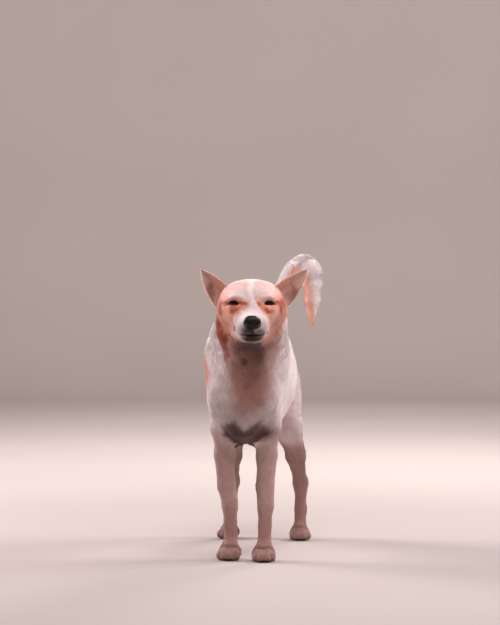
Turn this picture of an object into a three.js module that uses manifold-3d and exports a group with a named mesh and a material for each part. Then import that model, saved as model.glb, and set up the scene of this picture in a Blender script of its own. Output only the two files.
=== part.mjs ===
// A life-size dog of the pariah type, standing square with its head turned a little to its left
// and its tail curled up and over towards its left hip.
// Millimetres, +Z up. The dog faces -Y and its own left side is towards +X.
//
// The body is one smooth field (negative inside), built from eggs, limbs and lofts that melt into
// each other. Each piece of flesh is that field meshed at a cell size of its own and cut by planes.
// The ears, eyes, nose and claws are made by themselves.

import * as THREE from "three";
import { mergeVertices } from "three/addons/utils/BufferGeometryUtils.js";
import Module from "manifold-3d";

const wasm = await Module();
wasm.setup();

// ---------------------------------------------------------------- driving dimensions

const WITHERS = 500; // height of the shoulders above the floor
const GAP = 0.3; // clear space between neighbouring sub-parts
const ELBOW = 0.53 * WITHERS;
const CARPUS = 0.225 * WITHERS;
const STIFLE = 0.51 * WITHERS;
const HOCK = 0.245 * WITHERS;
const CHEST_FLOOR = 0.468 * WITHERS;
const HIND_Y = 0.84 * WITHERS; // from the forefeet back to the hind feet
const TAIL_ROOT = 0.93 * WITHERS;
const TURN = THREE.MathUtils.degToRad(6.6); // the head's turn towards the dog's left
const NOSE = new THREE.Vector3(44, -288, 0.972 * WITHERS); // middle of the nose leather
const EYE_R = 10.5;
const EYE = new THREE.Vector3(32.5, 99, 36); // left eyeball from the nose: side, back, up
const EAR_LENGTH = 90;

const at = (x, y, z) => new THREE.Vector3(x, y, z);
const SIDES = { left: 1, right: -1 };

// ---------------------------------------------------------------- fields

const clamp = (n, low, high) => Math.min(high, Math.max(low, n));

// A ball stretched to three radii, turned by angles about X, Y and Z.
function egg(centre, radii, turn = [0, 0, 0]) {
  const e = new THREE.Matrix4()
    .makeRotationFromEuler(new THREE.Euler(...turn))
    .setPosition(centre)
    .invert().elements;
  return (x, y, z) => {
    const u = (e[0] * x + e[4] * y + e[8] * z + e[12]) / radii[0];
    const v = (e[1] * x + e[5] * y + e[9] * z + e[13]) / radii[1];
    const w = (e[2] * x + e[6] * y + e[10] * z + e[14]) / radii[2];
    const size = Math.hypot(u, v, w);
    const slope = Math.hypot(u / radii[0], v / radii[1], w / radii[2]);
    return slope < 1e-9 ? -Math.min(...radii) : (size * (size - 1)) / slope;
  };
}

// A straight limb from a to b whose radius goes from ra to rb.
function limb(a, b, ra, rb) {
  const d = b.clone().sub(a);
  const square = d.lengthSq();
  return (x, y, z) => {
    const px = x - a.x;
    const py = y - a.y;
    const pz = z - a.z;
    const t = clamp((px * d.x + py * d.y + pz * d.z) / square, 0, 1);
    return Math.hypot(px - t * d.x, py - t * d.y, pz - t * d.z) - ra - t * (rb - ra);
  };
}

// Smooth joining of fields: k is how far the fillet between them reaches.
function blend(k, ...fields) {
  return (x, y, z) => {
    let d = fields[0](x, y, z);
    for (let i = 1; i < fields.length; i++) {
      const other = fields[i](x, y, z);
      const h = Math.max(k - Math.abs(d - other), 0) / k;
      d = Math.min(d, other) - (h * h * k) / 4;
    }
    return d;
  };
}

// Smooth hollowing of a field.
function hollow(k, body, ...hollows) {
  return (x, y, z) => {
    let d = body(x, y, z);
    for (const tool of hollows) {
      const cut = -tool(x, y, z);
      const h = Math.max(k - Math.abs(d - cut), 0) / k;
      d = Math.max(d, cut) + (h * h * k) / 4;
    }
    return d;
  };
}

// A bent limb through [point, radius] pairs.
function chain(k, knots) {
  const lengths = knots
    .slice(1)
    .map(([point, radius], i) => limb(knots[i][0], point, knots[i][1], radius));
  return blend(k, ...lengths);
}

// A body drawn along +Y through stations of top, bottom and half width. square is the power of its
// section, 2 for an ellipse; keel narrows the section's floor and roof narrows its top.
function loft(stations, { square = 2.2, keel = 0, roof = 0 } = {}) {
  const spans = ["top", "bottom", "half"].map((key) =>
    new THREE.SplineCurve(stations.map((s) => new THREE.Vector2(s.y, s[key]))),
  );
  const first = stations[0].y;
  const last = stations[stations.length - 1].y;
  const STEPS = 160;
  const tables = spans.map((span) => {
    const found = [];
    const points = span.getPoints(STEPS * 4);
    let j = 0;
    for (let i = 0; i <= STEPS; i++) {
      const y = first + ((last - first) * i) / STEPS;
      while (j < points.length - 2 && points[j + 1].x < y) j++;
      const t = clamp((y - points[j].x) / (points[j + 1].x - points[j].x || 1), 0, 1);
      found.push(points[j].y + t * (points[j + 1].y - points[j].y));
    }
    return found;
  });
  return (x, y, z) => {
    const inside = clamp(y, first, last);
    const place = ((inside - first) / (last - first)) * STEPS;
    const i = Math.min(STEPS - 1, Math.floor(place));
    const t = place - i;
    const [top, bottom, half] = tables.map((table) => table[i] + t * (table[i + 1] - table[i]));
    const tall = (top - bottom) / 2;
    const v = (z - (top + bottom) / 2) / tall;
    const pinch = v < 0 ? keel : roof;
    const wide = half * (1 - pinch * Math.min(1, v * v));
    const u = Math.abs(x) / wide;
    const size = Math.pow(Math.pow(u, square) + Math.pow(Math.abs(v), square), 1 / square);
    const slope =
      Math.pow(size || 1e-6, 1 - square) *
      Math.hypot(Math.pow(u, square - 1) / wide, Math.pow(Math.abs(v), square - 1) / tall);
    const flat = slope < 1e-6 ? -Math.min(wide, tall) : (size - 1) / slope;
    const beyond = Math.abs(y - inside);
    return beyond === 0 ? flat : Math.hypot(Math.max(flat, 0), beyond) + Math.min(flat, 0) * 0.2;
  };
}

// A field given in a frame of its own, such as the head's.
function placed(matrix, field) {
  const e = matrix.clone().invert().elements;
  return (x, y, z) =>
    field(
      e[0] * x + e[4] * y + e[8] * z + e[12],
      e[1] * x + e[5] * y + e[9] * z + e[13],
      e[2] * x + e[6] * y + e[10] * z + e[14],
    );
}

// Both sides of a pair, from a function of the side's sign.
const pair = (make) => Object.values(SIDES).map(make);

// ---------------------------------------------------------------- trunk and neck

const trunkForm = loft(
  [
    { y: -86, top: 0.7 * WITHERS, bottom: 0.575 * WITHERS, half: 22 },
    { y: -62, top: 0.83 * WITHERS, bottom: 0.522 * WITHERS, half: 50 },
    { y: -22, top: 0.94 * WITHERS, bottom: 0.487 * WITHERS, half: 66 },
    { y: 32, top: WITHERS, bottom: 0.471 * WITHERS, half: 76 },
    { y: 90, top: 0.978 * WITHERS, bottom: CHEST_FLOOR, half: 86 },
    { y: 150, top: 0.962 * WITHERS, bottom: 0.474 * WITHERS, half: 91 },
    { y: 210, top: 0.957 * WITHERS, bottom: 0.512 * WITHERS, half: 89 },
    { y: 262, top: 0.962 * WITHERS, bottom: 0.562 * WITHERS, half: 81 },
    { y: 312, top: 0.968 * WITHERS, bottom: 0.61 * WITHERS, half: 72 },
    { y: 356, top: 0.966 * WITHERS, bottom: 0.64 * WITHERS, half: 68 },
    { y: 398, top: 0.95 * WITHERS, bottom: 0.65 * WITHERS, half: 60 },
    { y: 432, top: 0.912 * WITHERS, bottom: 0.7 * WITHERS, half: 45 },
    { y: 452, top: 0.85 * WITHERS, bottom: 0.765 * WITHERS, half: 22 },
  ],
  { square: 2.25, keel: 0.3, roof: 0.12 },
);

const shoulderForms = pair((s) =>
  blend(
    24,
    egg(at(s * 47 + 2, 8, 0.78 * WITHERS), [24, 54, 96], [0.24, 0, s * 0.06]),
    limb(at(s * 46 + 2, -48, 0.67 * WITHERS), at(s * 44 + 1, 14, ELBOW + 10), 27, 23),
    limb(at(s * 46 + 2, 42, 0.73 * WITHERS), at(s * 45 + 1, 32, ELBOW + 12), 27, 18),
  ),
);

const headFrame = new THREE.Matrix4().makeRotationZ(TURN).setPosition(NOSE);
const inHead = (side, back, up) => at(side, back, up).applyMatrix4(headFrame);

const neckForm = blend(
  42,
  limb(inHead(0, 178, 22), at(9, 4, 0.862 * WITHERS), 48, 68),
  limb(inHead(0, 182, 36), at(2, 50, 0.912 * WITHERS), 32, 42),
  limb(inHead(0, 142, -2), at(7, -40, 0.755 * WITHERS), 40, 54),
  limb(inHead(38, 160, 10), at(46, -2, 0.83 * WITHERS), 28, 38),
  limb(inHead(-32, 160, 10), at(-33, -2, 0.83 * WITHERS), 25, 36),
);

// ---------------------------------------------------------------- legs

// Where each foot stands: its middle, and how far its toes turn out.
const FEET = {
  fore_left: { x: 40, y: -18, out: 0.1 },
  fore_right: { x: -31, y: 4, out: -0.06 },
  hind_left: { x: 80, y: HIND_Y - 28, out: 0.16 },
  hind_right: { x: -76, y: HIND_Y - 12, out: -0.12 },
};

const foreleg = (s, foot) => {
  const wrist = at(foot.x + s * 2, foot.y + 20, CARPUS);
  return blend(
    14,
    chain(8, [
      [at(s * 44, 24, ELBOW), 22],
      [at(s * 43, 20, 0.42 * WITHERS), 20.5],
      [at(s * 41, foot.y + 26, 0.3 * WITHERS), 17.5],
      [wrist, 16],
      [at(foot.x + s, foot.y + 17, 0.14 * WITHERS), 12.5],
      [at(foot.x, foot.y + 10, 26), 14],
    ]),
    egg(at(s * 45, 44, ELBOW + 4), [13, 15, 20]),
    egg(at(wrist.x, wrist.y + 13, CARPUS - 9), [7, 7, 9]),
  );
};

const hindleg = (s, foot) => {
  const heel = at(foot.x - s * 2, foot.y + 62, HOCK + 6);
  const hock = at(foot.x - s, foot.y + 44, HOCK - 2);
  return blend(
    18,
    egg(at(s * 44, 386, 0.655 * WITHERS), [38, 66, 98], [-0.1, s * -0.08, 0]),
    limb(at(s * 44, 360, 0.68 * WITHERS), at(s * 59, 326, STIFLE + 4), 36, 28),
    limb(at(s * 45, 418, 0.71 * WITHERS), at(s * 56, 398, 0.5 * WITHERS), 30, 21),
    egg(at(s * 55, 372, 0.53 * WITHERS), [27, 44, 52], [-0.2, 0, 0]),
    chain(12, [
      [at(s * 62, 330, STIFLE), 26],
      [at(foot.x - s * 8, 386, 0.375 * WITHERS), 20.5],
      [hock, 12.5],
    ]),
    chain(8, [
      [at(s * 62, 400, 0.45 * WITHERS), 17],
      [at(foot.x - s * 6, foot.y + 40, 0.34 * WITHERS), 10.5],
      [heel, 9],
    ]),
    chain(8, [
      [hock, 13.5],
      [at(foot.x, foot.y + 30, 0.13 * WITHERS), 12.5],
      [at(foot.x, foot.y + 14, 26), 13.5],
    ]),
  );
};

// The four toes of a foot: sideways place, reach ahead of the foot's middle, and turn.
const TOES = [
  { across: -17.5, ahead: 9, fan: 0.16, r: 8.6 },
  { across: -6.6, ahead: 19, fan: 0.04, r: 9.2 },
  { across: 6.6, ahead: 19, fan: -0.04, r: 9.2 },
  { across: 17.5, ahead: 9, fan: -0.16, r: 8.6 },
];
const TOE_HEIGHT = 11.5;

function footFrame(foot, scale) {
  const turned = new THREE.Matrix4().makeRotationZ(foot.out);
  return turned.scale(at(scale, scale, scale)).setPosition(foot.x, foot.y, 0);
}

// A paw in its own frame: -Y ahead, sole a little under the floor until it is cut flat.
const pawForm = blend(
  4,
  blend(
    9,
    egg(at(0, 2, 19), [20, 21, 15]),
    egg(at(0, 14, 8), [17, 13, 11]),
    egg(at(0, -4, 24), [14, 17, 12], [0.35, 0, 0]),
  ),
  ...TOES.map(({ across, ahead, fan, r }) =>
    blend(
      6,
      egg(at(across * 0.92, -ahead + 8, 15), [r * 0.96, 14, r * 1.12], [0.3, 0, fan]),
      egg(at(across, -ahead - 5, TOE_HEIGHT - 2), [r, 10.5, TOE_HEIGHT], [0, 0, fan]),
    ),
  ),
);

const paws = Object.entries(FEET).map(([name, foot]) =>
  placed(footFrame(foot, name.startsWith("fore") ? 1 : 0.94), pawForm),
);
const forelegs = pair((s) => foreleg(s, s > 0 ? FEET.fore_left : FEET.fore_right));
const hindlegs = pair((s) => hindleg(s, s > 0 ? FEET.hind_left : FEET.hind_right));

// ---------------------------------------------------------------- tail

const TAIL = [
  [at(0, 424, TAIL_ROOT - 6), 26],
  [at(10, 453, TAIL_ROOT + 26), 22],
  [at(31, 462, TAIL_ROOT + 68), 21],
  [at(55, 452, TAIL_ROOT + 110), 24],
  [at(80, 432, TAIL_ROOT + 134), 26],
  [at(101, 410, TAIL_ROOT + 126), 26],
  [at(109, 396, TAIL_ROOT + 94), 23],
  [at(109, 388, TAIL_ROOT + 58), 18.5],
  [at(107, 386, TAIL_ROOT + 24), 13],
  [at(105, 388, TAIL_ROOT - 6), 5.5],
];
const tailForm = chain(9, TAIL);

// ---------------------------------------------------------------- head, in its own frame
// From the middle of the nose: X to the dog's left, Y back along the muzzle, Z up.

const muzzleForm = loft(
  [
    { y: 2, top: 6, bottom: -27, half: 13 },
    { y: 12, top: 11, bottom: -31, half: 18.5 },
    { y: 32, top: 15, bottom: -34, half: 23 },
    { y: 56, top: 20, bottom: -36, half: 28 },
    { y: 80, top: 28, bottom: -36, half: 34 },
    { y: 106, top: 40, bottom: -34, half: 40 },
  ],
  { square: 2.5, keel: 0.16, roof: 0.3 },
);

const craniumForm = loft(
  [
    { y: 74, top: 29, bottom: -8, half: 27 },
    { y: 88, top: 48, bottom: -14, half: 40 },
    { y: 104, top: 64, bottom: -18, half: 52 },
    { y: 126, top: 75, bottom: -20, half: 58 },
    { y: 148, top: 78, bottom: -18, half: 59 },
    { y: 170, top: 73, bottom: -2, half: 52 },
    { y: 190, top: 61, bottom: 20, half: 31 },
  ],
  { square: 3.1, keel: 0.34, roof: 0.03 },
);

const faceForms = pair((s) =>
  blend(
    12,
    egg(at(s * 25, 96, 47), [18, 15, 9.5], [0.5, 0, s * -0.35]), // brow
    egg(at(s * 36.5, 118, 22), [18, 36, 20], [0, 0, s * -0.28]), // cheekbone
    egg(at(s * 27, 132, -2), [18, 32, 23]), // cheek
    egg(at(s * 14, 30, -13), [13, 26, 16], [0, 0, s * -0.2]), // whisker pad
    limb(at(s * 9, 20, -27), at(s * 24, 116, -19), 8, 12), // lower jaw
  ),
);

const eyeHollows = pair((s) => egg(at(s * 37, 78, 34), [13, 8, 7], [0, 0, s * 0.5]));

const headForm = hollow(
  8,
  blend(12, blend(16, craniumForm, muzzleForm), ...faceForms, egg(at(0, 14, -29), [10, 11, 6])),
  ...eyeHollows,
);

const noseForm = blend(
  6,
  egg(at(0, 4, 4), [15.5, 12, 9]),
  egg(at(0, 4, -6), [10, 10, 9]),
  ...pair((s) => egg(at(s * 8.5, 1, 0), [7.5, 8, 8])),
);

// ---------------------------------------------------------------- the whole body

const bodyField = blend(
  24,
  blend(40, trunkForm, neckForm),
  ...shoulderForms,
  placed(headFrame, headForm),
  ...forelegs,
  ...hindlegs,
);
const fleshField = blend(10, bodyField, ...paws);
const wholeField = blend(26, fleshField, tailForm);

// ---------------------------------------------------------------- from fields to solids

const AXES = [0, 1, 2];
const PROBE = 0.4; // how far apart the field is read to find its slope
const JUST_OUTSIDE = 0.1; // what a corner reads once it is emptied
const CUBE = [0, 1, 2, 3, 4, 5, 6, 7].map((c) => [c & 1, (c >> 1) & 1, (c >> 2) & 1]);

// Calls visit(i, j, k) for every cell of a grid with this many corners along each axis.
function eachCell([nx, ny, nz], visit) {
  for (let k = 0; k < nz - 1; k++)
    for (let j = 0; j < ny - 1; j++)
      for (let i = 0; i < nx - 1; i++) visit(i, j, k);
}

// A field read at the corners of a grid from low to high. The grid's outermost corners are always
// outside the body, so that its surface closes.
function readGrid(field, low, high, cell) {
  const size = AXES.map((axis) => Math.ceil((high[axis] - low[axis]) / cell[axis]) + 1);
  const steps = [1, size[0], size[0] * size[1]];
  const index = (i, j, k) => i + steps[1] * j + steps[2] * k;
  const spot = (...place) => place.map((n, axis) => low[axis] + n * cell[axis]);
  const value = new Float32Array(size[0] * size[1] * size[2]);
  const atRim = (...place) => place.some((n, axis) => n === 0 || n === size[axis] - 1);
  eachCell(size.map((n) => n + 1), (i, j, k) => {
    const d = field(...spot(i, j, k));
    value[index(i, j, k)] = atRim(i, j, k) ? Math.max(d, cell[0] / 2) : d;
  });
  return { size, steps, index, spot, value, cell };
}

// Empties a corner wherever two corners of a grid face are inside across its diagonal, so that the
// surface never touches itself along an edge.
function untangle({ size, steps, index, value }) {
  const inside = (n) => value[n] < 0;
  let changed = true;
  const mend = (a, axis) => {
    const b = a + steps[axis];
    const d = a + steps[(axis + 1) % 3];
    const c = b + d - a;
    if (inside(a) !== inside(c) || inside(b) !== inside(d) || inside(a) === inside(b)) return;
    const [m, n] = inside(a) ? [a, c] : [b, d];
    value[value[m] > value[n] ? m : n] = JUST_OUTSIDE;
    changed = true;
  };
  while (changed) {
    changed = false;
    eachCell(size, (i, j, k) => AXES.forEach((axis) => mend(index(i, j, k), axis)));
  }
}

// A point drawn onto the field's surface along its slope, by a third of a cell at most.
function drawnOn(field, cell, p) {
  const slope = AXES.map((axis) => {
    const ahead = [...p];
    const behind = [...p];
    ahead[axis] += PROBE;
    behind[axis] -= PROBE;
    return (field(...ahead) - field(...behind)) / (2 * PROBE);
  });
  const square = slope.reduce((sum, n) => sum + n * n, 0);
  const d = field(...p) / Math.max(0.05, square);
  return p.map((c, axis) => c - clamp(d * slope[axis], -cell[axis] / 3, cell[axis] / 3));
}

// The middle of the places where the surface crosses a cell's edges, in cells from its first
// corner, or null if it doesn't cross any. values are the field's at the cell's eight corners.
function crossing(values) {
  const sum = [0, 0, 0];
  let count = 0;
  for (let a = 0; a < 8; a++)
    for (const bit of [1, 2, 4]) {
      const b = a | bit;
      if (b === a || values[a] < 0 === values[b] < 0) continue;
      const t = values[a] / (values[a] - values[b]);
      for (const axis of AXES) sum[axis] += CUBE[a][axis] + t * (CUBE[b][axis] - CUBE[a][axis]);
      count++;
    }
  return count ? sum.map((n) => n / count) : null;
}

// The closed surface of a field inside a box: a net with one knot in each grid cell that the
// surface crosses, drawn onto the surface. cell is the grid's spacing along X, Y and Z.
function surfaceNet(field, low, high, cell) {
  const grid = readGrid(field, low, high, cell);
  untangle(grid);
  const { size, steps, index, spot, value } = grid;
  const vertices = [];
  const knotOf = new Int32Array(value.length).fill(-1);
  eachCell(size, (...place) => {
    const middle = crossing(CUBE.map((c) => value[index(...place.map((n, axis) => n + c[axis]))]));
    if (!middle) return;
    let p = spot(...place).map((c, axis) => c + middle[axis] * cell[axis]);
    const nearRim = place.some((n, axis) => n < 1 || n > size[axis] - 3);
    if (!nearRim) p = drawnOn(field, cell, drawnOn(field, cell, p));
    knotOf[index(...place)] = vertices.length / 3;
    vertices.push(...p);
  });

  const faces = [];
  const far = (a, b) =>
    Math.hypot(...AXES.map((axis) => vertices[3 * a + axis] - vertices[3 * b + axis]));
  const addFace = (here, axis) => {
    const inside = value[here] < 0;
    if (inside === value[here + steps[axis]] < 0) return;
    const u = steps[(axis + 1) % 3];
    const w = steps[(axis + 2) % 3];
    const ring = [here - u - w, here - w, here, here - u].map((n) => knotOf[n]);
    if (!inside) ring.reverse();
    const [a, b, c, d] = ring;
    if (far(a, c) < far(b, d)) faces.push(a, b, c, a, c, d);
    else faces.push(a, b, d, b, c, d);
  };
  eachCell(size, (...place) => {
    for (const axis of AXES)
      if (place[(axis + 1) % 3] > 0 && place[(axis + 2) % 3] > 0) addFace(index(...place), axis);
  });
  return solidFrom(vertices, faces);
}

function solidFrom(vertices, faces) {
  const mesh = new wasm.Mesh({
    numProp: 3,
    vertProperties: Float32Array.from(vertices),
    triVerts: Uint32Array.from(faces),
  });
  return new wasm.Manifold(mesh);
}

// A three.js geometry, placed by a matrix, as a solid.
function solidOf(geometry, matrix = new THREE.Matrix4()) {
  const bare = geometry.clone().applyMatrix4(matrix);
  bare.deleteAttribute("normal");
  bare.deleteAttribute("uv");
  const merged = mergeVertices(bare, 1e-3);
  return solidFrom(merged.attributes.position.array, merged.index.array);
}

// A box whose middle and size are given; grow widens it on every side.
const boxAt = (centre, size) => (grow) =>
  solidOf(
    new THREE.BoxGeometry(...size.map((n) => n + 2 * grow)),
    new THREE.Matrix4().setPosition(centre),
  );

// All that lies on the side of a plane that its normal points to, as a large box.
const beyond = (point, normal) => (grow) => {
  const BIG = 1400;
  const n = normal.clone().normalize();
  const turned = new THREE.Quaternion().setFromUnitVectors(at(0, 0, 1), n);
  const middle = point.clone().addScaledVector(n, BIG / 2 - grow);
  const matrix = new THREE.Matrix4().compose(middle, turned, at(1, 1, 1));
  return solidOf(new THREE.BoxGeometry(BIG, BIG, BIG), matrix);
};

// The largest body of a solid, without the slivers that cutting can leave.
const largest = (solid) =>
  solid.decompose().reduce((best, one) => (one.volume() > best.volume() ? one : best));

// Keeps what lies in every "keep" tool and in no "cut" tool, with half the gap on each side.
function carve(solid, keep, cut = []) {
  let made = solid;
  for (const tool of keep) made = made.intersect(tool(-GAP / 2));
  for (const tool of cut) made = made.subtract(tool(GAP / 2));
  return largest(made);
}

const looks = {
  white_coat: { color: 0xe9dfdb, roughness: 0.85, metalness: 0 },
  tan_coat: { color: 0xd9957a, roughness: 0.85, metalness: 0 },
  nose_leather: { color: 0x15171b, roughness: 0.45, metalness: 0 },
  eye: { color: 0x0f0a08, roughness: 0.12, metalness: 0 },
  claw: { color: 0x4a3d38, roughness: 0.5, metalness: 0 },
};
const dog = new THREE.Group();
dog.name = "dog";

function addPart(name, solid, look) {
  const { numProp, numVert, vertProperties, triVerts } = solid.getMesh();
  const positions = new Float32Array(numVert * 3);
  for (let i = 0; i < numVert; i++)
    positions.set(vertProperties.subarray(i * numProp, i * numProp + 3), i * 3);
  const geometry = new THREE.BufferGeometry()
    .setAttribute("position", new THREE.BufferAttribute(positions, 3))
    .setIndex(new THREE.BufferAttribute(triVerts, 1));
  geometry.computeVertexNormals();
  const mesh = new THREE.Mesh(geometry, new THREE.MeshStandardMaterial(looks[look]));
  mesh.name = name;
  dog.add(mesh);
}

// ---------------------------------------------------------------- cuts between sub-parts

const tools = {
  head: beyond(inHead(0, 158, -6), at(0.1, -0.93, 0.36)),
  neck: beyond(at(4, -38, 0.82 * WITHERS), at(0.06, -0.7, 0.71)),
  tail: beyond(at(0, 421, TAIL_ROOT - 13), at(0.02, 0.62, 0.78)),
  floor: beyond(at(0, 0, 0), at(0, 0, 1)),
};

const foreTool = (s) => beyond(at(s * 33, 20, 0.482 * WITHERS), at(s * 0.62, -0.1, -0.78));
const foreBack = beyond(at(0, 84, 0.4 * WITHERS), at(0, -1, 0.1));
const hindTool = (s) => beyond(at(s * 24, 380, 0.6 * WITHERS), at(s * 0.93, 0.05, -0.36));
const hindTop = beyond(at(0, 305, 0.59 * WITHERS), at(0, 0.85, -0.52));
const wrist = beyond(at(0, 0, CARPUS - 10), at(0, 0, -1));
const knee = beyond(at(0, 356, STIFLE - 32), at(0, 0.34, -0.94));
const ankle = beyond(at(0, HIND_Y, HOCK - 16), at(0, 0.1, -1));
const onSide = (s) => beyond(at(s * 4, 0, 0), at(s, 0, 0));

const inAll = (...list) => (grow) =>
  list.map((tool) => tool(grow)).reduce((a, b) => a.intersect(b));
const wholeForeleg = (s) => inAll(foreTool(s), foreBack, onSide(s));
const wholeHindleg = (s) => inAll(hindTool(s), hindTop, onSide(s));
const legTools = [...pair(wholeForeleg), ...pair(wholeHindleg)];

// ---------------------------------------------------------------- trunk and neck

const TRUNK_CELL = [24, 31, 25];
const NECK_CELL = [22, 22, 22];
const neckLow = [-120, -200, 280];
const neckHigh = [140, 100, 610];
const trunkSolid = surfaceNet(wholeField, [-130, -130, 190], [130, 490, 530], TRUNK_CELL);
const neckSolid = surfaceNet(bodyField, neckLow, neckHigh, NECK_CELL);
addPart("trunk", carve(trunkSolid, [], [tools.head, tools.neck, tools.tail, ...legTools]), "white_coat");
addPart("neck", carve(neckSolid, [tools.neck], [tools.head]), "white_coat");

// ---------------------------------------------------------------- head, jaw, nose and eyes

const HEAD_CELL = [11.8, 11.8, 11.8];
const NOSE_CELL = [6, 6, 6];
const headLow = [-100, -312, 420];
const headHigh = [150, -70, 604];
const headSolid = surfaceNet(bodyField, headLow, headHigh, HEAD_CELL);

const noseGrownBy = (grow) => {
  const grown = placed(headFrame, (x, y, z) => noseForm(x, y, z) - grow);
  return surfaceNet(grown, [14, -312, 456], [74, -262, 516], NOSE_CELL);
};
const noseRoom = (grow) => noseGrownBy(GAP + grow);

const eyeBall = (s, radius) => {
  const centre = inHead(s * EYE.x, EYE.y, EYE.z);
  return solidOf(new THREE.IcosahedronGeometry(radius, 1), new THREE.Matrix4().setPosition(centre));
};

// The socket: room for the eyeball, and the narrow opening between half-closed lids.
const SLIT_RADII = at(11, 12, 4);
const SLIT_TURN = 0.32;
const eyeRooms = pair((s) => () => {
  const opening = headFrame
    .clone()
    .multiply(new THREE.Matrix4().makeTranslation(s * EYE.x, EYE.y - 12, EYE.z))
    .multiply(new THREE.Matrix4().makeRotationZ(s * SLIT_TURN))
    .scale(SLIT_RADII);
  const slit = solidOf(new THREE.SphereGeometry(1, 12, 8), opening);
  return eyeBall(s, EYE_R + 2 * GAP).add(slit);
});

// All under the line of the mouth, back to its corners.
const MOUTH_BACK = 70;
const MOUTH_RISE = 9;
const MOUTH_UP = -17.5;
const JAW_BOX = [130, MOUTH_BACK + 40, 40];
const jawRoom = (grow) => {
  const [, long, tall] = JAW_BOX;
  const size = JAW_BOX.map((n) => n + 2 * grow);
  const matrix = headFrame
    .clone()
    .multiply(new THREE.Matrix4().makeTranslation(0, MOUTH_BACK, MOUTH_UP))
    .multiply(new THREE.Matrix4().makeRotationX(Math.atan2(MOUTH_RISE, MOUTH_BACK)))
    .multiply(new THREE.Matrix4().makeTranslation(0, -long / 2, -tall / 2));
  return solidOf(new THREE.BoxGeometry(...size), matrix);
};

addPart("head", carve(headSolid, [tools.head], [jawRoom, noseRoom, ...eyeRooms]), "tan_coat");
addPart("lower_jaw", carve(headSolid, [tools.head, jawRoom], [noseRoom]), "white_coat");
addPart("nose", noseGrownBy(0), "nose_leather");
for (const [side, s] of Object.entries(SIDES)) addPart("eye_" + side, eyeBall(s, EYE_R), "eye");

// ---------------------------------------------------------------- ears

const EAR_ROWS = 7;
const EAR_COLUMNS = 4;
const EAR_THICK = 5;
const EAR_FRONT = 25; // from the ear's midline to its front edge, at its widest
const EAR_REAR = 31;
const EAR_SUNK = 0.24; // the share of the length that starts inside the head
const EAR_ROOT = at(52, 138, 44); // the left ear's, from the nose
const EARS = {
  left: { out: at(0.63, 0.42, 0.65), open: at(0.46, -0.8, -0.15), long: EAR_LENGTH },
  right: { out: at(-0.6, 0.42, 0.67), open: at(-0.3, -0.92, -0.2), long: 0.95 * EAR_LENGTH },
};

// An ear is a leaf rolled into a scoop. t runs from its root to its tip, u from its rear edge (-1)
// to its front edge (1), and the scoop opens forward and out.
function earPoint(side, t, u, inner) {
  const s = SIDES[side];
  const out = EARS[side].out.clone().normalize();
  const wide = new THREE.Vector3().crossVectors(out, EARS[side].open).normalize();
  wide.multiplyScalar(-s);
  const face = new THREE.Vector3().crossVectors(out, wide).normalize().multiplyScalar(s);
  const full = u > 0 ? EAR_FRONT : EAR_REAR;
  const taper = Math.pow(1 - Math.pow(t, u > 0 ? 1.5 : 2), u > 0 ? 0.8 : 0.72);
  const roll = 1 - 0.45 * t;
  const radius = (full * taper + 1.4) / Math.sin(roll);
  const depth = radius * (Math.cos(u * roll) - Math.cos(roll));
  const thick = inner ? 0 : EAR_THICK * (1 - 0.45 * t) * (1 - 0.5 * u * u);
  return inHead(s * EAR_ROOT.x, EAR_ROOT.y, EAR_ROOT.z)
    .addScaledVector(out, (t * (1 + EAR_SUNK) - EAR_SUNK) * EARS[side].long)
    .addScaledVector(wide, radius * Math.sin(u * roll))
    .addScaledVector(face, -depth - thick);
}

function earSolid(side) {
  const vertices = [];
  for (const inner of [true, false])
    for (let i = 0; i <= EAR_ROWS; i++)
      for (let j = 0; j <= EAR_COLUMNS; j++) {
        const p = earPoint(side, i / EAR_ROWS, (2 * j) / EAR_COLUMNS - 1, inner);
        vertices.push(p.x, p.y, p.z);
      }
  const row = EAR_COLUMNS + 1;
  const back = row * (EAR_ROWS + 1);
  const faces = [];
  const quad = (a, b, c, d) => {
    if (side === "right") faces.push(a, b, c, a, c, d);
    else faces.push(a, c, b, a, d, c);
  };
  for (let i = 0; i < EAR_ROWS; i++) {
    const rear = i * row;
    const front = rear + EAR_COLUMNS;
    for (let a = rear; a < front; a++) {
      quad(a, a + 1, a + row + 1, a + row);
      quad(back + a, back + a + row, back + a + row + 1, back + a + 1);
    }
    quad(rear, rear + row, back + rear + row, back + rear);
    quad(front, back + front, back + front + row, front + row);
  }
  for (let j = 0; j < EAR_COLUMNS; j++) {
    const tip = EAR_ROWS * row + j;
    quad(j, back + j, back + j + 1, j + 1);
    quad(tip, tip + 1, back + tip + 1, back + tip);
  }
  return solidFrom(vertices, faces);
}

const grownBody = (x, y, z) => bodyField(x, y, z) - 3 * GAP;
const headRoom = surfaceNet(grownBody, headLow, headHigh, HEAD_CELL);
const neckRoom = surfaceNet(grownBody, neckLow, neckHigh, NECK_CELL);
for (const side of Object.keys(SIDES))
  addPart("ear_" + side, largest(earSolid(side).subtract(headRoom).subtract(neckRoom)), "tan_coat");

// ---------------------------------------------------------------- legs

const FORELEG_CELL = [11, 11, 18];
const THIGH_CELL = [18, 18, 23];
const SHANK_CELL = [11, 11, 15];

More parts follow.
